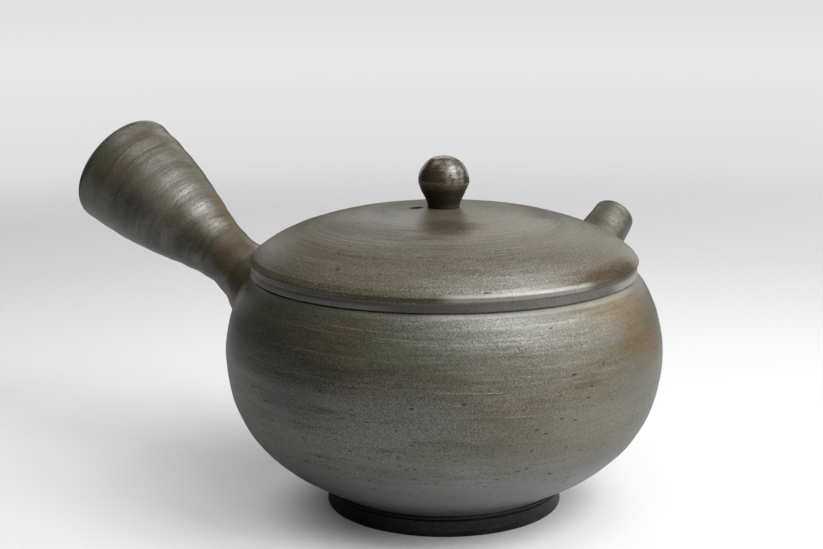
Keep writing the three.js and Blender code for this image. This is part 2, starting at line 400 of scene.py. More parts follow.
class Nodes:
    """A short way to build a node tree."""

    def __init__(self, tree: bpy.types.NodeTree) -> None:
        """Empties and keeps the tree that new nodes go into."""
        self.tree = tree
        tree.nodes.clear()

    def add(self, kind: str, inputs: dict | None = None, **settings: object) -> bpy.types.Node:
        """Adds a node, sets its properties and feeds its inputs.

        Args:
            kind: Blender's name of the node type, after the word ShaderNode.
            inputs: Sockets to link or values to set, by the input's name or number.
            settings: Properties of the node.

        Returns:
            The new node.
        """
        node = self.tree.nodes.new(f"ShaderNode{kind}")
        for name, value in settings.items():
            setattr(node, name, value)
        for name, value in (inputs or {}).items():
            if isinstance(value, Socket):
                self.tree.links.new(value, node.inputs[name])
            else:
                node.inputs[name].default_value = value
        return node

    def math(self, operation: str, *values: Value) -> Socket:
        """The result of a Math node with some inputs."""
        return self.add("Math", dict(enumerate(values)), operation=operation).outputs[0]

    def product(self, *values: Value) -> Socket:
        """The product of some values."""
        return reduce(partial(self.math, "MULTIPLY"), values)

    def greatest(self, *values: Value) -> Value:
        """The greatest of some values at each point, and at least zero."""
        return reduce(partial(self.math, "MAXIMUM"), values, 0.0)

    def weigh(self, first: Value, second: Value, share: float) -> Socket:
        """The mean of two values, in which the first has a share."""
        return self.math("MULTIPLY_ADD", first, share, self.math("MULTIPLY", second, 1 - share))

    def ramp(self, value: Value, low: float, high: float, first: float = 0.0, last: float = 1.0) -> Socket:
        """Maps a value smoothly from the range low to high onto first to last, held at its ends."""
        inputs = dict(enumerate((value, low, high, first, last)))
        return self.add("MapRange", inputs, interpolation_type="SMOOTHSTEP", clamp=True).outputs[0]

    def mix(self, share: Value, first: Socket | Colour, second: Socket | Colour) -> Socket:
        """Mixes two colours, in which the second has a share."""
        first, second = (end if isinstance(end, Socket) else (*end, 1.0) for end in (first, second))
        return self.add("Mix", {0: share, 6: first, 7: second}, data_type="RGBA").outputs[2]

    def seen_from(self, place: Array, turn: Place = (0, 0, 0), scale: Place = (1, 1, 1)) -> Socket:
        """Object coordinates from a place in metres, turned and scaled."""
        inputs = {0: self.add("TexCoord").outputs["Object"], 1: tuple(place), 2: turn, 3: scale}
        return self.add("Mapping", inputs, vector_type="TEXTURE").outputs[0]

    def length(self, vector: Socket) -> Socket:
        """The length of a vector."""
        return self.add("VectorMath", {0: vector}, operation="LENGTH").outputs["Value"]


@dataclass(frozen=True)
class Layer:
    """A layer of noise in the clay.

    Attributes:
        scale: Cycles to a metre.
        detail: Number of finer layers.
        roughness: Strength of each finer layer.
        share: Share of the girth that stands for the way round, or zero where it isn't drawn out.
    """

    scale: float
    detail: float
    roughness: float
    share: float = 0.0


CLOUDS = Layer(40.0, 2.0, 0.5)
GRIT = Layer(3000.0, 2.0, 0.7)
FLECK = Layer(1100.0, 2.0, 0.7)
BANDS = Layer(150.0, 3.0, 0.6, 0.2)
LINES = Layer(1250.0, 3.0, 0.65, 0.07)
HAIR = Layer(2900.0, 2.0, 0.5, 0.03)

# Scaled distances from a patch's middle at which its colour begins and is full
PATCH_EDGE: Point = (1.25, 0.2)

# Noise at which a score is broken and whole, and the share of its turn over which each end fades
SCORE_BREAK: Point = (0.36, 0.52)
SCORE_END = 0.15

# Half width over which a score is wide, then the flat share of its width and what is left in its gaps
WIDE_SCORE_MM = 0.5
WIDE_SCORE_SHAPE: Point = (0.45, 0.85)

# Cells of the pores: share of the girth, stretch of heights and radii, sway in metres, and cells to a metre
PORE_GIRTH = 0.45
PORE_STRETCH = 1.9
PORE_WANDER = 0.0016
PORE_SCALE = 1500.0

# Distances in a cell at which a pore begins and is full, and heights from pore_top where pores end and abound
PORE_EDGE: Point = (0.55, 0.3)
PORE_FADE_MM: Point = (4.0, -14.0)


class ClayNodes(Nodes):
    """The node tree of a clay, with the coordinates of a wheel-thrown piece."""

    def __init__(self, tree: bpy.types.NodeTree, axis: Axis, girth: float) -> None:
        """Works out each point's radius, turn and height about the piece's own axis.

        Args:
            tree: The material's tree.
            axis: Axis that the streaks go round.
            girth: Radius at which the streaks have their natural length, in millimetres.
        """
        super().__init__(tree)
        self.girth = girth * MM
        self.place = self.seen_from(to_frame(axis.foot), axis.euler())
        x, y, self.along = self.add("SeparateXYZ", {0: self.place}).outputs
        self.radius = self.math("SQRT", self.math("MULTIPLY_ADD", x, x, self.math("MULTIPLY", y, y)))
        safe = self.math("MAXIMUM", self.radius, 1e-5)
        self.east, self.north = (self.math("DIVIDE", part, safe) for part in (x, y))
        self.turn = self.math("ARCTAN2", y, x)

    def wound(self, share: float, height: Value) -> Socket:
        """A point at a height on a cylinder whose radius is a share of the girth."""
        reach = share * self.girth
        inputs = {0: self.product(self.east, reach), 1: self.product(self.north, reach), 2: height}
        return self.add("CombineXYZ", inputs).outputs[0]

    def noise(self, layer: Layer) -> Socket:
        """Adds a layer of noise, which is about 0.5 on average.

        Args:
            layer: Its measures.

        Returns:
            Its value.
        """
        inputs = {"Scale": layer.scale, "Detail": layer.detail, "Roughness": layer.roughness}
        if layer.share:
            inputs |= {"Vector": self.wound(layer.share, self.along), "W": self.radius}
            return self.add("TexNoise", inputs, noise_dimensions="4D").outputs["Fac"]
        inputs["Vector"] = self.place
        return self.add("TexNoise", inputs, noise_dimensions="3D").outputs["Fac"]


@dataclass(frozen=True)
class Patch:
    """A soft spot of colour on a piece: mostly the clay's own colour, some painted light, shade and
    reflection.

    Attributes:
        centre: Middle, in millimetres about the pot's axis.
        reach: Half sizes of the spot along X, Y and Z, in millimetres.
        colour: Linear colour that it moves towards.
        strength: Share of that colour in its middle.
        matt: How much it dulls the sheen, from 0 to 1.
        ragged: How much noise eats into its edge.
    """

    centre: Place
    reach: Place
    colour: Colour
    strength: float
    matt: float = 0.5
    ragged: float = 1.2

    def share(self, nodes: ClayNodes, noise: Socket) -> Socket:
        """Share of its colour: it falls with the scaled distance from its middle, eaten by noise.

        Args:
            nodes: The clay's tree.
            noise: Noise that eats its edge.

        Returns:
            The share.
        """
        spot = nodes.seen_from(to_frame(self.centre), scale=tuple(np.array(self.reach) * MM))
        spread = nodes.math("SUBTRACT", noise, 0.5)
        eaten = nodes.math("MULTIPLY_ADD", spread, 2 * self.ragged, nodes.length(spot))
        return nodes.ramp(eaten, *PATCH_EDGE, 0.0, self.strength)


@dataclass(frozen=True)
class ScoreOrHighlight:
    """A thin line round a piece, flat and nearly unbroken if wide: marks of tools and hands, and painted
    highlights and glints.

    Attributes:
        turn_deg: First and last turn about the piece's axis.
        along: Height of the line at its first and last turn, in millimetres along the piece's axis.
        width: Half width, in millimetres.
        strength: Share of its colour in its middle.
        dark: Whether it is darker than the clay.
    """

    turn_deg: Point
    along: Point
    width: float = 0.13
    strength: float = 0.5
    dark: bool = False

    def share(self, nodes: ClayNodes, noise: Socket) -> Socket:
        """Share of its colour: a pulse in height whose middle moves evenly from one end to the other.

        Args:
            nodes: The clay's tree.
            noise: Noise that breaks the line.

        Returns:
            The share.
        """
        first, last = (math.radians(value) for value in self.turn_deg)
        slope = (self.along[1] - self.along[0]) * MM / (last - first)
        middle = nodes.math("MULTIPLY_ADD", nodes.turn, slope, self.along[0] * MM - slope * first)
        off = nodes.math("ABSOLUTE", nodes.math("SUBTRACT", nodes.along, middle))
        flat, gaps = WIDE_SCORE_SHAPE if self.width > WIDE_SCORE_MM else (0.0, 0.0)
        pulse = nodes.ramp(off, self.width * MM, flat * self.width * MM, 0.0, self.strength)
        soft = SCORE_END * (last - first)
        ends = nodes.ramp(nodes.turn, first, first + soft), nodes.ramp(nodes.turn, last, last - soft)
        return nodes.product(pulse, *ends, nodes.ramp(noise, *SCORE_BREAK, gaps, 1.0))


@dataclass(frozen=True)
class Belt:
    """A smoother band of clay right round a piece, mostly painted shade or a painted reflection.

    Attributes:
        along: Lowest and highest edge, in millimetres along the piece's axis.
        soft: Width over which it fades, in millimetres.
        colour: Linear colour.
        strength: Share of that colour.
        smooth: How much of the grit and brush lines it wipes away.
        matt: How much it dulls the sheen.
    """

    along: Point
    soft: float
    colour: Colour
    strength: float
    smooth: float = 1.0
    matt: float = 0.0

    def share(self, nodes: ClayNodes) -> Socket:
        """Where the belt is, from 0 to 1."""
        low, high, soft = (value * MM for value in (*self.along, self.soft))
        above = nodes.ramp(nodes.along, low, low + soft)
        return nodes.product(above, nodes.ramp(nodes.along, high + soft, high))


OLIVE: Colour = (0.057, 0.059, 0.038)
UMBER: Colour = (0.08, 0.065, 0.036)
ASH: Colour = (0.3, 0.295, 0.24)


@dataclass(frozen=True)
class Stoneware:
    """Unglazed clay burnished on the wheel.

    Attributes:
        name: Name of the material.
        ground: Main linear colour.
        warm: Browner linear colour of the mottling.
        pale: Linear colour of grit and scratches.
        axis: Axis that the streaks go round.
        girth: Radius at which the streaks have their natural length, in millimetres.
        roughness: Least and greatest roughness.
        sheen: Specular level of the burnished clay.
        index: Index of refraction.
        warmth: Middle of the mottling's threshold; lower is browner.
        streak: Strength of the brush lines in the colour.
        grain: Strength of the grit in the colour.
        pores: Share of the cells that hold a dark pore.
        pore_top: Height under which the pores lie, in millimetres along the axis.
        bump: Height of the grit, in millimetres.
        patches: Soft spots of colour, some of them painted light, shade or reflection.
        scores_and_highlights: Thin lines: marks of tools and hands, and painted highlights and glints.
        belts: Smooth bands, most of them painted shade or a painted reflection.
    """

    name: str
    ground: Colour = OLIVE
    warm: Colour = UMBER
    pale: Colour = ASH
    axis: Axis = Axis()
    girth: float = 50.0
    roughness: Point = (0.26, 0.42)
    sheen: float = 1.0
    index: float = 1.8
    warmth: float = 0.54
    streak: float = 0.16
    grain: float = 0.26
    pores: float = 0.055
    pore_top: float = 44.0
    bump: float = 0.05
    patches: tuple[Patch, ...] = ()
    scores_and_highlights: tuple[ScoreOrHighlight, ...] = ()
    belts: tuple[Belt, ...] = ()

    def shade(self, share: float) -> Colour:
        """The ground colour times a share."""
        return tuple(share * channel for channel in self.ground)

    def pits(self, nodes: ClayNodes, fleck: Socket) -> Socket:
        """Dark pores: the middles of some cells that are drawn out round the piece.

        Args:
            nodes: The clay's tree.
            fleck: Noise that moves the cells up and down.

        Returns:
            Where a pore is, from 0 to 1.
        """
        wander = nodes.product(nodes.math("SUBTRACT", fleck, 0.5), PORE_WANDER)
        cell = nodes.wound(PORE_GIRTH, nodes.math("MULTIPLY_ADD", nodes.along, PORE_STRETCH, wander))
        inputs = {"Vector": cell, "W": nodes.product(nodes.radius, PORE_STRETCH), "Scale": PORE_SCALE}
        cells = nodes.add("TexVoronoi", inputs, voronoi_dimensions="4D", feature="F1")
        pick = nodes.add("SeparateColor", {0: cells.outputs["Color"]}).outputs[0]
        none, many = ((self.pore_top + shift) * MM for shift in PORE_FADE_MM)
        low_down = nodes.ramp(nodes.along, none, many, 0.04, 1.0)
        chosen = nodes.math("LESS_THAN", pick, nodes.product(low_down, self.pores))
        return nodes.product(chosen, nodes.ramp(cells.outputs["Distance"], *PORE_EDGE))

    def build(self) -> bpy.types.Material:
        """Makes the material: mottling, brush lines, grit, pores, spots, lines and bands over a satin clay.
        Some of the spots, lines and bands are painted light or shade.

        Returns:
            The material.
        """
        material = bpy.data.materials.new(self.name)
        material.use_nodes = True
        nodes = ClayNodes(material.node_tree, self.axis, self.girth)
        deep = self.shade(0.3)

        clouds, grit, fleck, bands, lines, hair = (
            nodes.noise(layer) for layer in (CLOUDS, GRIT, FLECK, BANDS, LINES, HAIR)
        )

        warm = nodes.ramp(nodes.weigh(bands, clouds, 0.55), self.warmth - 0.07, self.warmth + 0.1)
        colour = nodes.mix(warm, self.ground, self.warm)
        edges = nodes.weigh(lines, bands, 0.4)
        dulled, smooth = [nodes.product(warm, 0.25)], []
        # Spots and bands: the clay's own colour, and painted light, shade and reflection.
        for patch in self.patches:
            share = patch.share(nodes, edges)
            colour = nodes.mix(share, colour, patch.colour)
            dulled.append(nodes.product(share, patch.matt))
        for belt in self.belts:
            share = belt.share(nodes)
            colour = nodes.mix(nodes.product(share, belt.strength), colour, belt.colour)
            smooth.append(nodes.product(share, belt.smooth))
            dulled.append(nodes.product(share, belt.matt))
        rough = nodes.math("SUBTRACT", 1.0, nodes.greatest(*smooth))
        grit, lines, hair = (
            nodes.math("MULTIPLY_ADD", nodes.math("SUBTRACT", noise, 0.5), rough, 0.5)
            for noise in (grit, lines, hair)
        )

        sandy = nodes.ramp(nodes.along, 0.018, 0.042, 0.6, 1.0)
        colour = nodes.mix(nodes.ramp(lines, 0.52, 0.34, 0.0, self.streak), colour, deep)
        colour = nodes.mix(nodes.product(nodes.ramp(grit, 0.48, 0.3, 0.0, self.grain), sandy), colour, deep)
        bright = nodes.ramp(nodes.weigh(hair, grit, 0.3), 0.54, 0.7, 0.0, self.grain)
        colour = nodes.mix(nodes.product(bright, sandy), colour, self.pale)
        # Pale and dark lines: tool marks, and painted highlights and glints with their dark breaks.
        for dark, tone in ((False, self.pale), (True, deep)):
            marks = (score.share(nodes, fleck) for score in self.scores_and_highlights if score.dark == dark)
            colour = nodes.mix(nodes.greatest(*marks), colour, tone)
        pore = self.pits(nodes, fleck)
        colour = nodes.mix(nodes.product(pore, 0.85), colour, self.shade(0.2))

        dull = nodes.math("MAXIMUM", nodes.greatest(*dulled), pore)
        finish = nodes.ramp(nodes.weigh(grit, lines, 0.6), 0.36, 0.62, *self.roughness)
        sparkle = nodes.ramp(grit, 0.36, 0.62, 0.4 * self.sheen, self.sheen)
        burnish = nodes.ramp(nodes.weigh(bands, lines, 0.75), 0.4, 0.58, 0.5, 1.0)
        relief = nodes.math("MULTIPLY_ADD", pore, -2.5, nodes.math("MULTIPLY_ADD", lines, 0.45, grit))
        bump = nodes.add("Bump", {"Height": relief, "Strength": 1.0, "Distance": self.bump * MM})
        surface = {
            "Base Color": colour,
            "Roughness": nodes.math("MULTIPLY_ADD", dull, 0.15, finish),
            "Specular IOR Level": nodes.product(sparkle, burnish, nodes.ramp(dull, 0.0, 1.0, 1.0, 0.3)),
            "IOR": self.index,
            "Normal": bump.outputs[0],
        }
        shader = nodes.add("BsdfPrincipled", surface)
        nodes.add("OutputMaterial", {"Surface": shader.outputs[0]})
        return material


# The pieces


@dataclass
class Piece:
    """What every piece of the teapot shares. Sizes are in millimetres, heights from the table.

    Attributes:
        node: Name of the CAD node that the piece stands for.
        clay: Not used.
        body: Body that it rides on.
        also: Further CAD nodes that it stands for.
        finish: Clay that it is dressed in.
        crease_deg: Turn from which an edge of its mesh is sharp.
        ripples: Marks of the wheel on its outside.
    """

    node: str = ""
    clay: str = ""
    body: Body = Body.POT
    also: tuple[str, ...] = ()
    finish: Stoneware = Stoneware("stoneware")
    crease_deg: float = 50.0
    ripples: tuple[Ripple, ...] = ()

    def build(self, *neighbours: "Piece") -> Object:
        """Builds its mesh, rounded into the pieces that it is luted to."""
        raise NotImplementedError

    def make(self, *neighbours: "Piece") -> None:
        """Builds and dresses the piece, puts it on its body and hides the nodes that it stands for.

        Args:
            neighbours: Pieces that it is luted to.
        """
        made = self.build(*neighbours)
        made.data.set_sharp_from_angle(angle=math.radians(self.crease_deg))
        made.data.materials.clear()
        made.data.materials.append(self.finish.build())
        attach(made, self.body.value)
        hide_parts(self.node, *self.also)
        log.info("%s: %d faces", made.name, len(made.data.polygons))


BELLY_PATCHES = (
    Patch((25.0, -45.0, 43.6), (15, 11, 3.3), (0.074, 0.05, 0.033), 0.6),
    Patch((14.6, -49.3, 43.3), (10, 6, 1.6), (0.038, 0.028, 0.018), 0.4),
    Patch((4.5, -47.5, 52.5), (9, 7, 3.5), (0.085, 0.056, 0.032), 0.5),
    Patch((45.0, -25.0, 42.0), (26, 30, 22), (0.078, 0.07, 0.038), 0.5, 0.0, 0.8),
    Patch((47.0, -2.0, 53.5), (9, 16, 6), (0.142, 0.1, 0.042), 0.9, 0.6),
    Patch((51.0, 5.0, 46.0), (9, 13, 10), (0.115, 0.079, 0.03), 0.75, 0.5),
    Patch((49.1, -16.7, 39.5), (8, 16, 10), (0.1, 0.079, 0.027), 0.7, 0.5),
    Patch((38.0, -35.2, 36.2), (15, 13, 7), (0.072, 0.056, 0.027), 0.65),
    Patch((45.0, -26.0, 39.0), (11, 13, 5), (0.07, 0.053, 0.022), 0.45),
    # Dark grey spot low on the front left: painted shade.
    Patch((14.0, -50.0, 34.5), (34, 16, 7), (0.039, 0.0405, 0.033), 0.68, 0.2, 0.6),
    Patch((-33.6, -35.0, 52.1), (4, 4, 4.5), ASH, 0.5, 0.2),
    # Dark neutral spots on the left side: painted shade on the side away from the lamps.
    Patch((-5.0, -51.0, 37.5), (17, 14, 15), (0.0225, 0.0238, 0.0195), 0.85, 0.5, 0.4),
    Patch((-20.0, -43.0, 47.0), (22, 18, 7), (0.036, 0.037, 0.032), 0.5, 0.6, 0.5),
    # Pale grey spot low on the front right: a painted reflection of the floor.
    Patch((32.0, -33.0, 20.5), (26, 22, 8.5), (0.15, 0.149, 0.127), 0.7, 0.0, 0.8),
    # Pale spot on the front of the shoulder: a painted highlight that widens the real one.
    Patch((22.0, -44.5, 49.5), (16, 10, 5), (0.12, 0.12, 0.09), 0.4, 0.0, 0.9),
    # Light spot on the lower right: painted light on the side facing the lamps.
    Patch((48.0, -14.0, 26.0), (13, 22, 13), (0.15, 0.142, 0.104), 0.65, 0.0, 0.7),
)
BELLY_SCORES_AND_HIGHLIGHTS = (
    ScoreOrHighlight((-119, -74.6), (52.0, 51.5), strength=0.32),
    ScoreOrHighlight((-74.6, -59.0), (51.5, 50.9)),
    ScoreOrHighlight((-118, -82.2), (43.0, 41.9), strength=0.32),
    ScoreOrHighlight((-59.2, -41.2), (40.9, 40.4), strength=0.7),
    ScoreOrHighlight((-42.8, -32.9), (35.1, 34.9), strength=0.6),
    ScoreOrHighlight((-28.6, -24.4), (34.6, 34.7), strength=0.7),
    ScoreOrHighlight((-40.1, -34.3), (43.9, 43.3), strength=0.6),
    ScoreOrHighlight((-100, -66), (47.4, 46.9), strength=0.35),
    # Wide pale band just under the lid: painted light over the shade that the lid's lip casts.
    ScoreOrHighlight((-66, 16), (55.85, 55.85), 0.9, 0.45),
    # Pale and dark lines across the shoulder: painted highlight streaks and the dark breaks between them.
    ScoreOrHighlight((-62, -14), (53.5, 53.3), 0.35, 0.4),
    ScoreOrHighlight((-60, -22), (52.2, 52.05), 0.3, 0.5, dark=True),
    ScoreOrHighlight((-64, -30), (54.7, 54.6), 0.25, 0.35, dark=True),
    ScoreOrHighlight((-70, -20), (50.5, 50.3), 0.3, 0.3),
    ScoreOrHighlight((-58, -26), (49.6, 49.4), 0.28, 0.35, dark=True),
    ScoreOrHighlight((-90, -50), (52.9, 52.4), 0.22, 0.3),
)


@dataclass
class Belly(Piece):
    """The thrown globe of the pot, with its chamber, rim and pouring hole."""

    node: str = "body"
    also: tuple[str, ...] = ("base",)
    crease_deg: float = 40.0
    base_radius: float = 28.2
    base_height: float = 5.0
    base_lean_deg: float = 34.0
    base_pull: float = 7.3
    radius: float = 52.0
    height: float = 38.4
    low_pull: float = 0.715
    high_pull: float = 0.337
    rim_radius: float = 45.2
    rim_height: float = 56.3
    rim_lean_deg: float = -29.7
    rim_pull: float = 0.23
    wall: float = 3.0
    floor: float = 4.0
    floor_inset: float = 1.5
    rim_width: float = 3.8
    collar_depth: float = 4.2
    rim_edge: float = 0.6
    rows: int = 150
    base_rows: int = 24
    columns: int = 288
    fillet: float = 3.2
    ripples: tuple[Ripple, ...] = (Ripple(3, 18, (0.7, 2.0), 0.006), Ripple(4, 6, (6.0, 16.0), 0.022))
    finish: Stoneware = Stoneware(
        "belly_stoneware",
        patches=BELLY_PATCHES,
        scores_and_highlights=BELLY_SCORES_AND_HIGHLIGHTS,
        # Cool grey band low on the belly: a painted reflection of the pale floor.
        belts=(Belt((0.0, 15.0), 7.0, (0.085, 0.085, 0.088), 0.8, 0.3),),
    )

    def outline(self) -> Array:
        """The outside from the underside's edge to the rim: two cubic curves that meet at the belly.

        Returns:
            Radius and height of each point.
        """
        base, rim = (self.base_radius, self.base_height), (self.rim_radius, self.rim_height)
        rise, shoulder = self.height - self.base_height, self.rim_height - self.height
        low = (self.radius, self.height - self.low_pull * rise)
        belly = (self.radius, self.height)
        high = (self.radius, self.height + self.high_pull * shoulder)
        leaving = polar_step(base, self.base_lean_deg, self.base_pull)
        arriving = polar_step(rim, self.rim_lean_deg, self.rim_pull * shoulder)
        lower = bezier(base, leaving, low, belly, count=self.rows)
        return joined(lower, bezier(belly, high, arriving, rim, count=self.rows // 2))

    def profile(self) -> Array:
        """The whole section, from the middle of the underside round to the middle of the floor.

        Returns:
            Radius and height of each point.
        """
        outer, edge = self.outline(), self.rim_edge
        mouth = self.rim_radius - self.rim_width
        ceiling, floor = self.rim_height - self.collar_depth, self.base_height + self.floor
        wall = outer - outward(outer) * self.wall
        wall = wall[(wall[:, 1] > floor) & (wall[:, 1] < ceiling)][::-3]
        return joined(
            np.linspace((0, self.base_height), (self.base_radius, self.base_height), self.base_rows),
            outer,
            np.linspace((self.rim_radius, self.rim_height), (mouth + edge, self.rim_height), 6),
            arc((mouth + edge, self.rim_height - edge), edge, 90, 180, 6),
            arc((mouth + edge, ceiling + edge), edge, 180, 270, 6),
            wall,
            np.linspace((wall[-1, 0] - self.floor_inset, floor), (0, floor), 20),
        )

    def gap(self, points: Array) -> Array:
        """Distance from the outside: the level distance times the cosine of the wall's slope.

        Args:
            points: Millimetres about the pot's axis.

        Returns:
            One distance for each point, less than zero within the clay.
        """
        radius, height, step = np.hypot(points[..., 0], points[..., 1]), points[..., 2], 0.2
        outline = self.outline()
        lower, own, upper = (
            np.interp(height + shift, outline[:, 1], outline[:, 0]) for shift in (-step, 0, step)
        )
        return (radius - own) / np.sqrt(1 + ((upper - lower) / (2 * step)) ** 2)

    def build(self, *neighbours: "Tube") -> Object:
        """Turns the globe, rounds its joints with the tubes and cuts the pouring hole.

        Args:
            neighbours: Tubes that are luted to the wall.

        Returns:
            The piece.
        """
        profile = self.profile()
        height = profile[:, 1]
        outer = (profile[:, 0] > self.rim_radius - self.rim_width) | (height > self.base_height + 0.01)
        outer &= np.arange(len(profile)) < self.base_rows + len(self.outline())
        fade = np.clip((height - self.base_height) / 2, 0, 1) * np.clip(self.rim_height - height, 0, 1)
        grid = rippled(profile, self.columns, self.ripples, fade * outer)
        normals = turned(outward(profile), self.columns)
        for tube in neighbours:
            lift = fillet_lift(tube.gap(grid), self.fillet) * outer[:, None]
            grid = grid + normals * lift[..., None]
        made = solid(self.node, grid)
        cut(made, [tube.drill() for tube in neighbours if tube.drill_radius > 0])
        return made


@dataclass
class Tube(Piece):
    """A thrown tube that is luted to the wall of the pot.

    Lengths run along the tube's axis from its foot, and radii are from that axis.
    """

    axis: Axis = Axis()
    crease_deg: float = 60.0
    sink: float = 16.0
    length: float = 60.0
    rows: int = 190
    columns: int = 192
    bury: float = 1.2
    fillet: float = 3.2
    end_fade: float = 3.0
    drill_radius: float = 0.0
    drill_end: float = 4.0

    def outside(self) -> Array:
        """Section of the outside from the sunk root to the end's rounding."""
        raise NotImplementedError

    def inside(self) -> Array:
        """Section of the end's rounding and the bore, back to the sunk root."""
        raise NotImplementedError

    def gap(self, points: Array) -> Array:
        """Distance from the tube's outside: radial distance times the cosine of its slope.

        Args:
            points: Millimetres about the pot's axis.

        Returns:
            One distance for each point, large behind the tube's root.
        """
        section = self.outside()
        radii, lengths = section[np.argsort(section[:, 1], kind="stable")].T
        own = self.axis.local(points)
        slope = np.gradient(radii, lengths + 1e-9 * np.arange(len(section)))
        radius, lean = (np.interp(own[..., 2], lengths, numbers) for numbers in (radii, slope))
        gap = (np.hypot(own[..., 0], own[..., 1]) - radius) / np.sqrt(1 + lean**2)
        return np.where(own[..., 2] > -self.sink, gap, 1e3)

    def drill(self) -> Object:
        """A closed cylinder that cuts the pouring hole through the wall."""
        radius, start, end = self.drill_radius, -self.sink, self.drill_end
        profile = np.array([(0, start), (radius, start), (radius, end), (0, end)])
        return solid(f"{self.node}_drill", turned(profile, 96), self.axis)

    def trimmed(self, section: Array, belly: Belly, count: int) -> tuple[Array, Array]:
        """Sweeps a section round the axis, each column starting where it enters the pot's wall.

        For each turn the section's crossing with a surface just under the wall's outside is found by
        reading where the distance changes sign, and the rows are spaced evenly from there on.

        Args:
            section: Radius and length of each point, from the root outwards.
            belly: The globe that the tube is luted to.
            count: Number of rows.

        Returns:
            Points in rows and columns, in the tube's own frame, and their arc length.
        """
        depth = belly.gap(self.axis.world(turned(section, self.columns))) + self.bury
        inside, column = depth < 0, np.arange(self.columns)
        last = np.where(inside.any(0), len(section) - 1 - np.argmax(inside[::-1], axis=0), 0)
        after = np.minimum(last + 1, len(section) - 1)
        near, far = depth[last, column], depth[after, column]
        share = np.where(inside.any(0), -near / np.where(far == near, 1, far - near), 0)
        along = arc_length(section)
        start = along[last] + share * (along[after] - along[last])
        rows = np.linspace(0, 1, count)[:, None]
        position = start * (1 - rows) + along[-1] * rows
        radius, length = (np.interp(position, along, numbers) for numbers in section.T)
        return around(radius, length, self.columns), position

    def build(self, *neighbours: Belly) -> Object:
        """Builds the tube with its ripples and its rounding into the wall.

        Args:
            neighbours: The globe that it is luted to.

        Returns:
            The piece.
        """
        (belly,) = neighbours
        outside = self.outside()
        points, along = self.trimmed(outside, belly, self.rows)
        bore, _ = self.trimmed(self.inside()[::-1], belly, self.rows // 2)
        whole = arc_length(outside)
        out, up = (np.interp(along, whole, numbers) for numbers in outward(outside).T)
        lift = sum(ripple.at(along, spaced_turns(self.columns)) for ripple in self.ripples)
        lift = lift * np.clip((whole[-1] - along) / self.end_fade, 0, 1)
        lift = lift + fillet_lift(belly.gap(self.axis.world(points)), self.fillet)
        points = points + around(out, up, self.columns) * lift[..., None]
        return solid(self.node, np.concatenate([points, bore[-2::-1]]), self.axis, capped=False)


HANDLE_PATCHES = (
    # Pale spot on the handle's front: painted highlight.
    Patch((-82.5, -10.5, 68.5), (10, 4.5, 8), (0.18, 0.165, 0.122), 0.45, 0.0, 0.8),
    Patch((-78.5, -2.0, 71.0), (10, 5, 9), (0.056, 0.046, 0.029), 0.6, 0.6, 0.8),
    Patch((-92.0, -3.0, 82.0), (8, 8, 5), (0.055, 0.04, 0.024), 0.6, 0.6),
    # Dark spot on the front near the root: painted shade that dims the highlight there.
    Patch((-73.0, -10.0, 56.0), (10, 5, 4.5), (0.034, 0.029, 0.02), 0.75, 0.7, 0.8),
    Patch((-61.6, -3.0, 55.4), (9, 6, 8), (0.088, 0.059, 0.026), 0.8, 0.9),
    Patch((-70.0, 3.0, 64.0), (12, 6, 9), (0.082, 0.053, 0.021), 0.85, 0.95),
    Patch((-54.7, -8.9, 50.4), (7, 7, 7), (0.062, 0.045, 0.022), 0.8, 0.7),
    # Dark spot low on the front near the end: painted shade on the handle's underside.
    Patch((-92.0, -13.5, 64.5), (12, 8, 7), (0.028, 0.026, 0.023), 0.8, 0.6, 0.5),
)
# Pale arcs along the handle's throwing rings: painted glints.
HANDLE_PAINTED_GLINTS = (
    ScoreOrHighlight((118, 158), (53.4, 53.8), 0.22, 0.45),
    ScoreOrHighlight((112, 178), (34.3, 36.0), 0.18, 0.5),
    ScoreOrHighlight((118, 172), (31.4, 32.2), 0.2, 0.5),
    ScoreOrHighlight((114, 160), (27.8, 28.3), 0.16, 0.4),
    ScoreOrHighlight((120, 170), (22.0, 22.3), 0.16, 0.4),
    ScoreOrHighlight((110, 165), (42.0, 42.8), 0.2, 0.3),
)


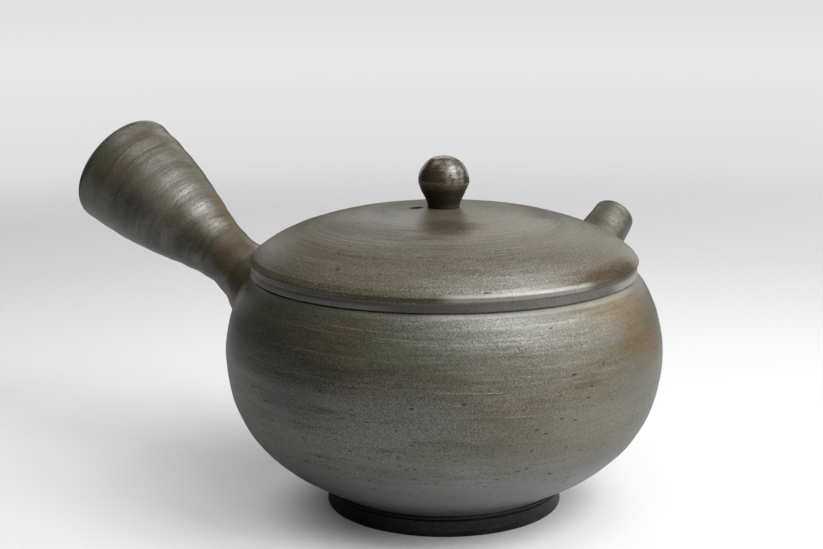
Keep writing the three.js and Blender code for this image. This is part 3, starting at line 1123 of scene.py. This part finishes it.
@dataclass
class Handle(Tube):
    """The hollow trumpet handle."""

    node: str = "handle"
    axis: Axis = Axis((-52.0, 0.0, 43.4), 180.0, 28.9)
    length: float = 62.2
    root_radius: float = 15.2
    root_pull: float = 3.7
    neck_reach: float = 16.5
    neck_radius: float = 7.35
    flare_pull: float = 11.0
    bell_pull: float = 10.3
    end_radius: float = 15.5
    end_pull: float = 22.5
    end_flare: float = 1.3
    lip: float = 2.6
    wall: float = 2.8
    inner_lip: float = 1.2
    bore_radius: float = 4.5
    ripples: tuple[Ripple, ...] = (Ripple(11, 16, (0.8, 2.2), 0.014), Ripple(12, 5, (5.0, 12.0), 0.05))
    finish: Stoneware = Stoneware(
        "handle_stoneware",
        axis=axis,
        girth=12.0,
        warmth=0.47,
        streak=0.1,
        grain=0.12,
        pores=0.0,
        bump=0.02,
        patches=HANDLE_PATCHES,
        scores_and_highlights=HANDLE_PAINTED_GLINTS,
    )

    def outside(self) -> Array:
        """Flare from the root to the neck, bell from the neck to the end, and half of the rounded lip.

        Returns:
            Radius and length of each point.
        """
        end, radius, neck = self.length - self.lip, self.neck_radius, self.neck_reach
        leaving, arriving = (self.root_radius, self.root_pull), (radius, neck - self.flare_pull)
        flare = bezier((self.root_radius, -self.sink), leaving, arriving, (radius, neck), count=160)
        leaving = (radius, neck + self.bell_pull)
        arriving = (self.end_radius - self.end_flare, end - self.end_pull)
        bell = bezier((radius, neck), leaving, arriving, (self.end_radius, end), count=200)
        return joined(flare, bell, arc((self.end_radius - self.lip, end), self.lip, 0, 90, 24))

    def inside(self) -> Array:
        """The mouth's inner rounding and the narrowing bore.

        Returns:
            Radius and length of each point.
        """
        mouth, lip = self.end_radius - self.wall, self.inner_lip
        bore, neck = self.bore_radius, self.neck_reach
        leaving = (mouth - self.end_flare, self.length - self.lip - self.end_pull)
        start, arriving = (mouth, self.length - lip), (bore, neck + self.bell_pull)
        return joined(
            arc((mouth + lip, self.length - lip), lip, 90, 180, 12),
            bezier(start, leaving, arriving, (bore, neck), count=90),
            np.linspace((bore, neck), (bore, -self.sink), 40),
        )


@dataclass
class Spout(Tube):
    """The tapering spout, cut square at its tip. Its foot is on the belly's widest circle."""

    node: str = "spout"
    axis: Axis = Axis((*polar_step((0, 0), 88.0, Belly.radius), 40.0), 88.0, 33.4)
    length: float = 34.1
    rows: int = 130
    columns: int = 144
    drill_radius: float = 8.0
    root_radius: float = 14.0
    root_pull: Point = (9.2, 1.0)
    tip_radius: float = 5.6
    tip_pull: float = 18.0
    tip_bore: float = 3.9
    tip_edge: float = 0.8
    bore_edge: float = 0.35
    bore_pull: Point = (-0.7, 1.0)
    taper: float = 1.4
    wall: float = 2.1
    fillet: float = 4.0
    ripples: tuple[Ripple, ...] = (
        Ripple(21, 8, (1.2, 3.0), 0.015),
        Ripple(22, 4, (6.0, 15.0), 0.04, swirl=2),
    )
    finish: Stoneware = Stoneware(
        "spout_stoneware",
        ground=(0.062, 0.058, 0.036),
        warm=(0.085, 0.064, 0.033),
        axis=axis,
        girth=8.0,
        roughness=(0.32, 0.44),
        sheen=0.6,
        streak=0.08,
        grain=0.12,
        pores=0.0,
        bump=0.02,
    )

    def outside(self) -> Array:
        """One cubic curve from the root to the tip, and the tip's outer rounding.

        Returns:
            Radius and length of each point.
        """
        edge, tip = self.tip_edge, self.length - self.tip_edge
        arriving = (self.tip_radius + self.taper, self.length - self.tip_pull)
        root = (self.root_radius, -self.sink)
        side = bezier(root, self.root_pull, arriving, (self.tip_radius, tip), count=160)
        return joined(side, arc((self.tip_radius - edge, tip), edge, 0, 90, 10))

    def inside(self) -> Array:
        """The flat of the tip, its inner edge and the widening bore.

        Returns:
            Radius and length of each point.
        """
        edge, end = self.bore_edge, self.length
        leaving = (self.tip_radius + self.taper - self.wall, end - self.tip_pull)
        arriving = (self.drill_radius + self.bore_pull[0], self.bore_pull[1])
        root = (self.drill_radius, -self.sink)
        return joined(
            np.linspace((self.tip_radius - self.tip_edge, end), (self.tip_bore + edge, end), 3),
            arc((self.tip_bore + edge, end - edge), edge, 90, 180, 6),
            bezier((self.tip_bore, end - edge), leaving, arriving, root, count=80),
        )


@dataclass
class FootRing(Piece):
    """The dark ring under the globe, with a groove and a bead at its top edge.

    The middles of the two and the end of the wall are from the lower edge of the bead.
    """

    node: str = "foot_ring"
    clay: str = "foot_clay"
    top: float = 5.0
    radius: float = 28.3
    inset: float = 0.05
    width: float = 4.8
    edge: float = 0.35
    bead: float = 1.0
    bead_edge: float = 0.42
    bead_middle: Point = (-0.42, 0.5)
    groove: float = 0.28
    groove_middle: Point = (-0.02, -0.1)
    wall_end: Point = (-0.25, -0.35)
    top_inset: float = 0.5
    inner_lean: float = 1.0
    columns: int = 288
    ripples: tuple[Ripple, ...] = (Ripple(31, 6, (1.2, 3.0), 0.012),)
    finish: Stoneware = Stoneware(
        "foot_clay",
        ground=(0.004, 0.0038, 0.0035),
        warm=(0.006, 0.0055, 0.005),
        pale=(0.025, 0.025, 0.024),
        girth=28.0,
        roughness=(0.3, 0.46),
        sheen=0.24,
        pores=0.0,
        bump=0.03,
        # Near-black line in the groove: painted shade in the recess.
        belts=(Belt((3.55, 4.05), 0.12, (0.001, 0.001, 0.001), 0.95, 1.0, 1.0),),
    )

    def profile(self) -> Array:
        """The ring's section, anticlockwise from its inner lower edge.

        Returns:
            Radius and height of each point.
        """
        outer, edge, top = self.radius - self.inset, self.edge, self.top
        inner, corner = outer - self.width, np.array([self.radius, top - self.bead])
        return joined(
            np.linspace((inner + edge, 0), (outer - edge, 0), 8),
            arc((outer - edge, edge), edge, -90, 0, 10),
            np.linspace((outer, edge), corner + self.wall_end, 16),
            arc(corner + self.groove_middle, self.groove, 200, 120, 8),
            arc(corner + self.bead_middle, self.bead_edge, -50, 90, 10),
            np.linspace((self.radius - self.top_inset, top), (inner + self.inner_lean, top), 8),
            np.linspace((inner + self.inner_lean, top), (inner, edge), 10),
            arc((inner + edge, edge), edge, 180, 270, 8),
        )[:-1]

    def build(self) -> Object:
        """Turns the ring, with ripples on its outer wall only.

        Returns:
            The piece.
        """
        profile = self.profile()
        radius, height = profile.T
        wall = (radius > self.radius - 1) & (height > 0.5) & (height < self.top - 0.2)
        return solid(self.node, rippled(profile, self.columns, self.ripples, wall), capped=False)


LID_PATCHES = (
    # Dark spot on the front of the dome: painted shade where the dome catches little sheen.
    Patch((-3.0, -25.0, 69.2), (20, 10, 4), (0.046, 0.037, 0.02), 0.7, 0.4, 0.8),
    Patch((-12.0, -13.5, 70.0), (17, 8, 3.5), (0.15, 0.15, 0.125), 0.4, 0.0, 0.9),
    Patch((13.0, -17.0, 70.1), (9, 9.5, 2.8), (0.046, 0.027, 0.012), 0.95, 0.9, 1.2),
    # Pale spot on the back right of the dome: painted sheen, a reflection of the lamps.
    Patch((27.0, 7.0, 68.0), (20, 19, 4.6), (0.17, 0.172, 0.134), 0.75, 0.0),
    Patch((42.0, -2.0, 60.8), (11, 17, 3.0), (0.058, 0.032, 0.009), 1.0, 1.0, 0.7),
    Patch((45.2, 6.5, 60.2), (6, 11, 2.4), (0.038, 0.02, 0.005), 1.0, 1.0, 0.5),
    # Pale band along the front right of the dome's edge: painted highlight.
    Patch((33.5, -27.0, 61.8), (18, 22, 1.6), (0.19, 0.185, 0.165), 0.5, 0.0, 0.5),
    Patch((31.0, -7.7, 67.4), (11, 9, 2.2), (0.11, 0.085, 0.055), 0.5),
    Patch((-9.4, -35.3, 65.9), (14, 9, 3), (0.095, 0.07, 0.045), 0.45),
    Patch((-2.7, -44.0, 61.9), (24, 5, 2), (0.095, 0.063, 0.035), 0.5),
    Patch((-8.6, -13.7, 70.8), (11, 6, 2), (0.08, 0.076, 0.076), 0.5, 0.3),
    Patch((-0.4, -11.3, 71.5), (6, 4, 2), (0.085, 0.095, 0.066), 0.5, 0.1),
    Patch((16.9, 15.0, 69.9), (14, 9, 3), (0.03, 0.026, 0.022), 0.6, 0.8, 2.0),
)
LID_SCORES_AND_HIGHLIGHTS = (
    ScoreOrHighlight((-112, -66), (70.15, 70.5), 0.035, 0.6, dark=True),
    # Wide pale lines on the rounded edge of the dome and on the lip: painted highlights.
    ScoreOrHighlight((-59, -8), (59.4, 59.55), 1.15, 0.78),
    ScoreOrHighlight((-4, 60), (57.3, 57.3), 1.1, 0.6),
    ScoreOrHighlight((-160, -66), (56.9, 56.9), 0.9, 0.25),
)
LID_BELTS = (
    Belt((56.2, 58.2), 0.12, (0.05, 0.049, 0.046), 0.85, 0.6),
    # Dark brown band on the overhanging edge above the lip: painted shade.
    Belt((58.3, 59.6), 0.15, (0.042, 0.034, 0.022), 0.75, 0.0, 0.6),
)


@dataclass
class Lid(Piece):
    """The shallow dome with its grooved lip, its flange and its steam hole."""

    node: str = "lid"
    body: Body = Body.LID
    seat: float = 56.42
    lip_radius: float = 45.72
    lip_height: float = 1.83
    lip_edge: float = 0.22
    groove_radius: float = 45.54
    dome_radius: float = 45.95
    dome_foot: float = 59.75
    dome_start: Point = (-0.12, 0.1)
    bevel: float = 1.4
    bevel_rows: int = 12
    bevel_lean_deg: float = 35.0
    dome_pull: float = 10.5
    dome_lean_deg: float = 47.5
    crown: float = 71.65
    crown_pull_radius: float = 20.5
    wall: float = 2.8
    flange_outer: float = 40.9
    flange_width: float = 2.6
    flange_foot: float = 50.8
    flange_edge: float = 1.2
    rows: int = 150
    columns: int = 320
    steam_radius: float = 1.45
    steam_edge: float = 0.3
    steam_reach: float = 6.5
    steam_turn_deg: float = 216.0
    ripples: tuple[Ripple, ...] = (Ripple(41, 12, (0.9, 2.4), 0.009), Ripple(42, 5, (5.0, 13.0), 0.02))
    finish: Stoneware = Stoneware(
        "lid_stoneware",
        ground=(0.092, 0.081, 0.048),
        warm=(0.105, 0.078, 0.041),
        pale=(0.32, 0.315, 0.28),
        girth=35.0,
        sheen=0.8,
        streak=0.24,
        grain=0.62,
        pores=0.015,
        pore_top=90.0,
        bump=0.07,
        patches=LID_PATCHES,
        scores_and_highlights=LID_SCORES_AND_HIGHLIGHTS,
        belts=LID_BELTS,
    )

    def dome(self, count: int) -> Array:
        """The dome from its bevelled edge to its crown: a straight bevel, then one cubic curve.

        Args:
            count: Number of points.

        Returns:
            Radius and height of each point.
        """
        foot = np.array([self.dome_radius, self.dome_foot]) + self.dome_start
        edge = polar_step(foot, 90 + self.bevel_lean_deg, self.bevel)
        leaving = polar_step(edge, 90 + self.dome_lean_deg, self.dome_pull)
        arriving, crown = (self.crown_pull_radius, self.crown), (0, self.crown)
        curve = bezier(edge, leaving, arriving, crown, count=count - self.bevel_rows)
        return np.vstack([np.linspace(foot, edge, self.bevel_rows + 1)[:-1], curve])

    def profile(self) -> Array:
        """The whole section, from under the crown round the flange, lip and dome to the crown.

        Returns:
            Radius and height of each point.
        """
        outer, edge, seat = self.flange_outer, self.lip_edge, self.seat
        inner, lip_top = outer - self.flange_width, seat + self.lip_height
        corner, foot = self.flange_edge, self.flange_foot + self.flange_edge
        dome = self.dome(60)
        under = dome - outward(dome) * self.wall
        under = under[(under[:, 0] < inner - 1) & (under[:, 0] > 0.5)][::-1]
        groove, dome_foot = (self.groove_radius, lip_top), (self.dome_radius, self.dome_foot - 0.15)
        leaving, arriving = (self.groove_radius, lip_top + edge), (self.dome_radius, self.dome_foot - edge)
        return joined(
            np.linspace((0, under[0, 1]), under[0], 2),
            under,
            np.linspace((inner - 0.8, under[-1, 1] - 0.3), (inner, foot), 16),
            arc((inner + corner, foot), corner, 180, 270, 8),
            arc((outer - corner, foot), corner, 270, 360, 8),
            np.linspace((outer, foot), (outer, seat), 12),
            np.linspace((outer, seat), (self.lip_radius - edge, seat), 8),
            arc((self.lip_radius - edge, seat + edge), edge, -90, 0, 10),
            np.linspace((self.lip_radius, seat + edge), groove, 8),
            bezier(groove, leaving, arriving, dome_foot, count=14),
            self.dome(self.rows),
        )

    def steam_drill(self) -> Object:
        """A cutter for the steam hole: a cylinder that widens in a quarter round at the dome's surface.

        Returns:
            The cutter.
        """
        edge, radius = self.steam_edge, self.steam_radius
        dome = self.dome(200)
        surface = float(np.interp(-self.steam_reach, -dome[:, 0], dome[:, 1]))
        start, end = self.crown - 12, surface + 3
        throat = arc((radius + edge, surface - edge), edge, 180, 90, 10)
        profile = np.vstack([[(0, start), (radius, start)], throat, [(radius + edge + 0.6, end), (0, end)]])
        foot = (*polar_step((0, 0), self.steam_turn_deg, self.steam_reach), 0.0)
        return solid("steam_drill", turned(profile, 64), Axis(foot))

    def build(self) -> Object:
        """Turns the lid, with ripples that fade at the dome's edge and crown, and cuts its steam hole.

        Returns:
            The piece.
        """
        profile = self.profile()
        radius = profile[:, 0]
        fade = np.clip((self.dome_radius - 1 - radius) / 3, 0, 1) * np.clip(radius / 5, 0, 1)
        fade = fade * (np.arange(len(profile)) >= len(profile) - self.rows)
        made = solid(self.node, rippled(profile, self.columns, self.ripples, fade))
        cut(made, [self.steam_drill()])
        return made


@dataclass
class Knob(Piece):
    """The bulb on the lid's crown, with heights from its seat and no sharp edge."""

    node: str = "knob"
    body: Body = Body.LID
    crease_deg: float = 180.0
    seat: float = 71.65
    base_radius: float = 3.85
    base_edge: float = 0.3
    radius: float = 6.02
    base_rise: float = 0.5
    neck_rise: float = 1.4
    neck_inset: float = 0.05
    waist: float = 5.95
    waist_pull: float = 0.8
    height: float = 12.15
    shoulder_share: float = 0.62
    crown_share: float = 0.56
    columns: int = 160
    ripples: tuple[Ripple, ...] = (Ripple(51, 8, (0.7, 1.8), 0.008), Ripple(52, 3, (3.0, 6.0), 0.02))
    finish: Stoneware = Stoneware(
        "knob_stoneware",
        ground=(0.05, 0.037, 0.018),
        warm=(0.075, 0.048, 0.022),
        pale=(0.14, 0.12, 0.08),
        girth=6.0,
        roughness=(0.14, 0.26),
        streak=0.3,
        pores=0.0,
        bump=0.02,
        # Darker and matt low on the knob: painted shade under the bulb.
        belts=(Belt((70.0, 75.6), 2.2, (0.009, 0.008, 0.005), 0.8, 0.0, 0.95),),
    )

    def profile(self) -> Array:
        """From the middle of the seat out to the base, up the neck, over the bulb to its top.

        Returns:
            Radius and height of each point.
        """
        radius, waist, height, edge = self.radius, self.waist, self.height, self.base_edge
        foot, neck = (self.base_radius, self.base_rise), (self.base_radius - self.neck_inset, self.neck_rise)
        shoulder = (radius, waist + self.shoulder_share * (height - waist))
        crown = (self.crown_share * radius, height)
        return joined(
            np.linspace((0, 0), (self.base_radius - edge, 0), 6),
            arc((self.base_radius - edge, edge), edge, 270, 360, 6),
            bezier(foot, neck, (radius, waist - self.waist_pull), (radius, waist), count=50),
            bezier((radius, waist), shoulder, crown, (0, height), count=70),
        )

    def build(self) -> Object:
        """Turns the bulb, with ripples that fade at the base and the top."""
        profile = self.profile()
        fade = np.clip(profile[:, 1], 0, 1) * np.clip(profile[:, 0] / 2.5, 0, 1)
        return solid(self.node, rippled(profile, self.columns, self.ripples, fade), Axis((0, 0, self.seat)))


@dataclass
class Strainer(Piece):
    """The pierced ball of clay over the pouring hole, inside the pot."""

    node: str = "strainer"
    crease_deg: float = 35.0
    radius: float = 12.4
    wall: float = 1.6
    hole_radius: float = 1.0
    hole_pitch: float = 3.7
    drill_span: Point = (0.6, 1.25)
    rings: int = 4
    bury: float = 0.4
    columns: int = 120
    spout: Spout = field(default_factory=Spout)
    belly: Belly = field(default_factory=Belly)
    finish: Stoneware = Stoneware("strainer_clay", girth=12.0, roughness=(0.6, 0.8), sheen=0.3, pores=0.02)

    def axis(self) -> Axis:
        """The spout's axis, with its foot moved back to the wall's inner face."""
        spout = self.spout.axis
        back = self.belly.wall / math.cos(math.radians(spout.rise_deg))
        return Axis(tuple(np.array(spout.foot) - spout.base()[2] * back), spout.turn_deg, spout.rise_deg)

    def shell(self, radius: float, rows: int) -> Array:
        """A sphere's part inside the chamber: each column ends where it meets the wall.

        A point is the radius times (sine of lean times cosine and sine of turn, minus cosine of lean).

        Args:
            radius: Radius of the sphere.
            rows: Number of rows from the pole to the wall.

        Returns:
            Points in rows and columns, in the ball's own frame.
        """
        lean = np.linspace(0, 0.95 * np.pi, 400)[:, None]
        sphere = radius * around(np.sin(lean), -np.cos(lean), self.columns)
        reached = self.belly.gap(self.axis().world(sphere)) + self.belly.wall - self.bury > 0
        last = np.where(reached.any(0), np.argmax(reached, axis=0), len(lean) - 1)
        lean = np.linspace(0, 1, rows)[:, None] * lean[last, 0]
        return radius * around(np.sin(lean), -np.cos(lean), self.columns)

    def drills(self) -> list[Object]:
        """Cutters for the holes, in rings about the pole, each a cylinder along the ball's radius.

        Returns:
            The cutters.
        """
        pitch = self.hole_pitch / self.radius
        places = [(0.0, 0.0)]
        for ring in range(1, self.rings):
            count = int(2 * math.pi * math.sin(ring * pitch) / pitch)
            places += [(ring * pitch, 2 * math.pi * (i + ring / 2) / count) for i in range(count)]
        start, end = (share * self.radius for share in self.drill_span)
        profile = np.array([(0, start), (self.hole_radius, start), (self.hole_radius, end), (0, end)])
        cutters = []
        for lean, turn in places:
            side = math.sin(lean)
            along = np.array([side * math.cos(turn), side * math.sin(turn), -math.cos(lean)])
            across = np.cross(along, [0.3, 0.9, 0.1])
            across /= np.linalg.norm(across)
            base = np.array([across, np.cross(along, across), along])
            cutters.append(solid("strainer_drill", turned(profile, 20) @ base, self.axis()))
        return cutters

    def build(self) -> Object:
        """Builds the shell and pierces it.

        Returns:
            The piece.
        """
        outer, inner = self.shell(self.radius, 60), self.shell(self.radius - self.wall, 40)
        made = solid(self.node, np.concatenate([outer, inner[::-1]]), self.axis())
        made.data.flip_normals()
        cut(made, self.drills())
        return made


# Camera, light and floor


@dataclass(frozen=True)
class Camera:
    """The picture's camera.

    Attributes:
        place: Millimetres from the pot's axis on the table.
        heading_deg: Turn of the view about +Z, 0 looking along +Y.
        dip_deg: How far the view looks down.
        roll_deg: Turn about the line of sight.
        focal_px: Focal length in pixels of the picture.
    """

    place: Place = (211.79, -314.00, 134.17)
    heading_deg: float = 35.16
    dip_deg: float = 11.753
    roll_deg: float = -0.2515
    focal_px: float = 1624.976

    def make(self) -> None:
        """Adds the camera and makes it the scene's own.

        Its matrix is a turn about Z, a tilt about X and a roll about the line of sight, in that order.
        """
        data = bpy.data.cameras.new("camera")
        data.sensor_fit = "HORIZONTAL"
        data.sensor_width = SENSOR_WIDTH_MM
        data.lens = self.focal_px * SENSOR_WIDTH_MM / PICTURE_WIDTH_PX
        data.clip_start = 0.01
        angles = (self.heading_deg, self.dip_deg, self.roll_deg)
        heading, dip, roll = (math.radians(angle) for angle in angles)
        ahead = math.cos(dip)
        forward = np.array([-math.sin(heading) * ahead, math.cos(heading) * ahead, -math.sin(dip)])
        level = np.array([math.cos(heading), math.sin(heading), 0.0])
        right = math.cos(roll) * level + math.sin(roll) * np.cross(level, forward)
        axes = [right, np.cross(right, forward), -forward]
        bpy.context.scene.camera = stand("camera", data, axes, to_frame(self.place))


@dataclass(frozen=True)
class Softbox:
    """A soft square studio lamp that faces the pot.

    Attributes:
        name: Name of the lamp.
        azimuth_deg: Direction from the pot, anticlockwise seen from above, 0 towards the camera.
        height_deg: Angle over the table.
        power: Watts.
        distance: Metres from the pot.
        size: Width and height in metres.
        zero_deg: Direction at azimuth 0, anticlockwise from -Y.
        aim: Height of the pot's middle in metres.
    """

    name: str
    azimuth_deg: float
    height_deg: float
    power: float
    distance: float = 1.0
    size: float = 0.45
    zero_deg: float = 34.0
    aim: float = 0.04

    def make(self) -> None:
        """Adds the lamp, aimed at the middle of the pot."""
        data = bpy.data.lights.new(self.name, "AREA")
        data.size = self.size
        data.energy = self.power
        turn, rise = math.radians(self.azimuth_deg + self.zero_deg), math.radians(self.height_deg)
        away = np.array([math.sin(turn) * math.cos(rise), -math.cos(turn) * math.cos(rise), math.sin(rise)])
        level = np.array([math.cos(turn), math.sin(turn), 0.0])
        place = pot_centre() + (0, 0, self.aim) + away * self.distance
        stand(self.name, data, [level, np.cross(away, level), away], place)


# Rings of lamps: the height over the table in degrees, then the watts at each azimuth

LAMPS: dict[str, tuple[float, dict[float, float]]] = {
    "low": (12.0, {25: 0.87, 60: 1.2, 90: 1.0, 150: 0.6, -150: 0.6}),
    "mid": (30.0, {15: 0.5, 60: 2.5, 108: 1.35, 180: 0.9}),
    "high": (48.0, {30: 2.1, 60: 4.4, 88: 1.1, 140: 0.4}),
    "roof": (66.0, {0: 0.9, 90: 1.4, 140: 0.55, -120: 0.9}),
    "top": (84.0, {30: 0.55}),
}


@dataclass(frozen=True)
class Studio:
    """The pale floor that fades into the backdrop, the lamps and the backdrop's tone.

    Attributes:
        floor_colour: Linear colour of the floor under the pot, painted lighter than far away as a pool of
            light.
        far_colour: Linear colour of the floor where its fade starts.
        reach: Half width of the floor's sheet, in metres.
        veil: Least and greatest share of the backdrop that shows through the floor near the pot, painted
            light that lifts the pot's cast shadow.
        veil_reach: Distances between which that share grows, in metres.
        veil_shift: Place from which those distances count, from the pot's axis, in metres.
        tone: Distances from the pot between which the floor's painted pool of light darkens to the far
            colour, in metres.
        fade: Distances from the pot between which the floor gives way to the backdrop, in metres.
        backdrop: Heights of a view's direction and the backdrop's grey there.
        sky: Strength of the surroundings as a light.
    """

    floor_colour: Colour = (0.8, 0.8, 0.8)
    far_colour: Colour = (0.62, 0.62, 0.62)
    reach: float = 6.0
    veil: Point = (0.03, 0.31)
    veil_reach: Point = (0.03, 0.052)
    veil_shift: Place = (0.007, 0.0, 0.0)
    tone: Point = (0.12, 0.37)
    fade: Point = (0.32, 0.62)
    backdrop: tuple[Point, ...] = ((-0.3, 0.95), (-0.16, 0.7), (-0.1, 0.77), (-0.075, 0.8), (-0.04, 0.76))
    sky: float = 0.015

    def floor(self) -> None:
        """Adds the floor as a flat sheet under the pot, clear beyond its fade."""
        corners = np.array([(-1, -1, 0), (1, -1, 0), (1, 1, 0), (-1, 1, 0)])
        made = new_mesh("floor", corners * self.reach, [np.array([[0, 1, 2, 3]])])
        material = bpy.data.materials.new("pale_floor")
        material.use_nodes = True
        nodes = Nodes(material.node_tree)
        middle = nodes.length(nodes.seen_from(pot_centre()))
        beside = nodes.length(nodes.seen_from(pot_centre() + self.veil_shift))
        # The floor's colour is painted lighter near the pot, a pool of light that fades with distance.
        colour = nodes.mix(nodes.ramp(middle, *self.tone), self.floor_colour, self.far_colour)
        surface = {"Base Color": colour, "Roughness": 0.9, "Specular IOR Level": 0.2}
        shader = nodes.add("BsdfPrincipled", surface)
        # More of the backdrop's grey shows through away from the pot: painted light that lifts the cast
        # shadow.
        veil = nodes.ramp(beside, *self.veil_reach, *self.veil)
        clear = nodes.math("MAXIMUM", nodes.ramp(middle, *self.fade), veil)
        through = nodes.add("BsdfTransparent")
        blend = nodes.add("MixShader", {0: clear, 1: shader.outputs[0], 2: through.outputs[0]})
        nodes.add("OutputMaterial", {"Surface": blend.outputs[0]})
        made.data.materials.append(material)

    def world(self) -> None:
        """Sets the backdrop's grey by the height of the view's direction, and dims it as a light."""
        world = bpy.data.worlds.new("studio")
        bpy.context.scene.world = world
        world.use_nodes = True
        nodes = Nodes(world.node_tree)
        height = nodes.add("SeparateXYZ", {0: nodes.add("TexCoord").outputs["Object"]}).outputs[2]
        grey: Value = self.backdrop[0][1]
        for (low, _), (high, upper) in zip(self.backdrop, self.backdrop[1:]):
            inputs = {0: nodes.ramp(height, low, high), 2: grey, 3: upper}
            grey = nodes.add("Mix", inputs, data_type="FLOAT").outputs[0]
        lit, seen = (
            nodes.add("Background", {"Color": (1.0, 1.0, 1.0, 1.0), "Strength": strength}).outputs[0]
            for strength in (self.sky, grey)
        )
        camera = nodes.add("LightPath").outputs["Is Camera Ray"]
        blend = nodes.add("MixShader", {0: camera, 1: lit, 2: seen})
        nodes.add("OutputWorld", {"Surface": blend.outputs[0]})

    def make(self) -> None:
        """Adds the floor, the surroundings and the lamps."""
        self.floor()
        self.world()
        lamps = [
            Softbox(f"{ring}_{number}", azimuth, height, power)
            for ring, (height, powers) in LAMPS.items()
            for number, (azimuth, power) in enumerate(powers.items(), 1)
        ]
        for lamp in lamps:
            lamp.make()
        log.info("studio: %d lamps", len(lamps))


def main() -> None:
    """Builds the teapot piece by piece, then the studio and the camera."""
    logging.basicConfig(level=logging.INFO, format="%(name)s %(message)s")
    belly, handle, spout = Belly(), Handle(), Spout()
    belly.make(handle, spout)
    handle.make(belly)
    spout.make(belly)
    for piece in (FootRing(), Strainer(spout=spout, belly=belly), Lid(), Knob()):
        piece.make()
    Studio().make()
    Camera().make()
    bpy.context.scene.view_settings.view_transform = "Standard"


if __name__ == "__main__":
    main()
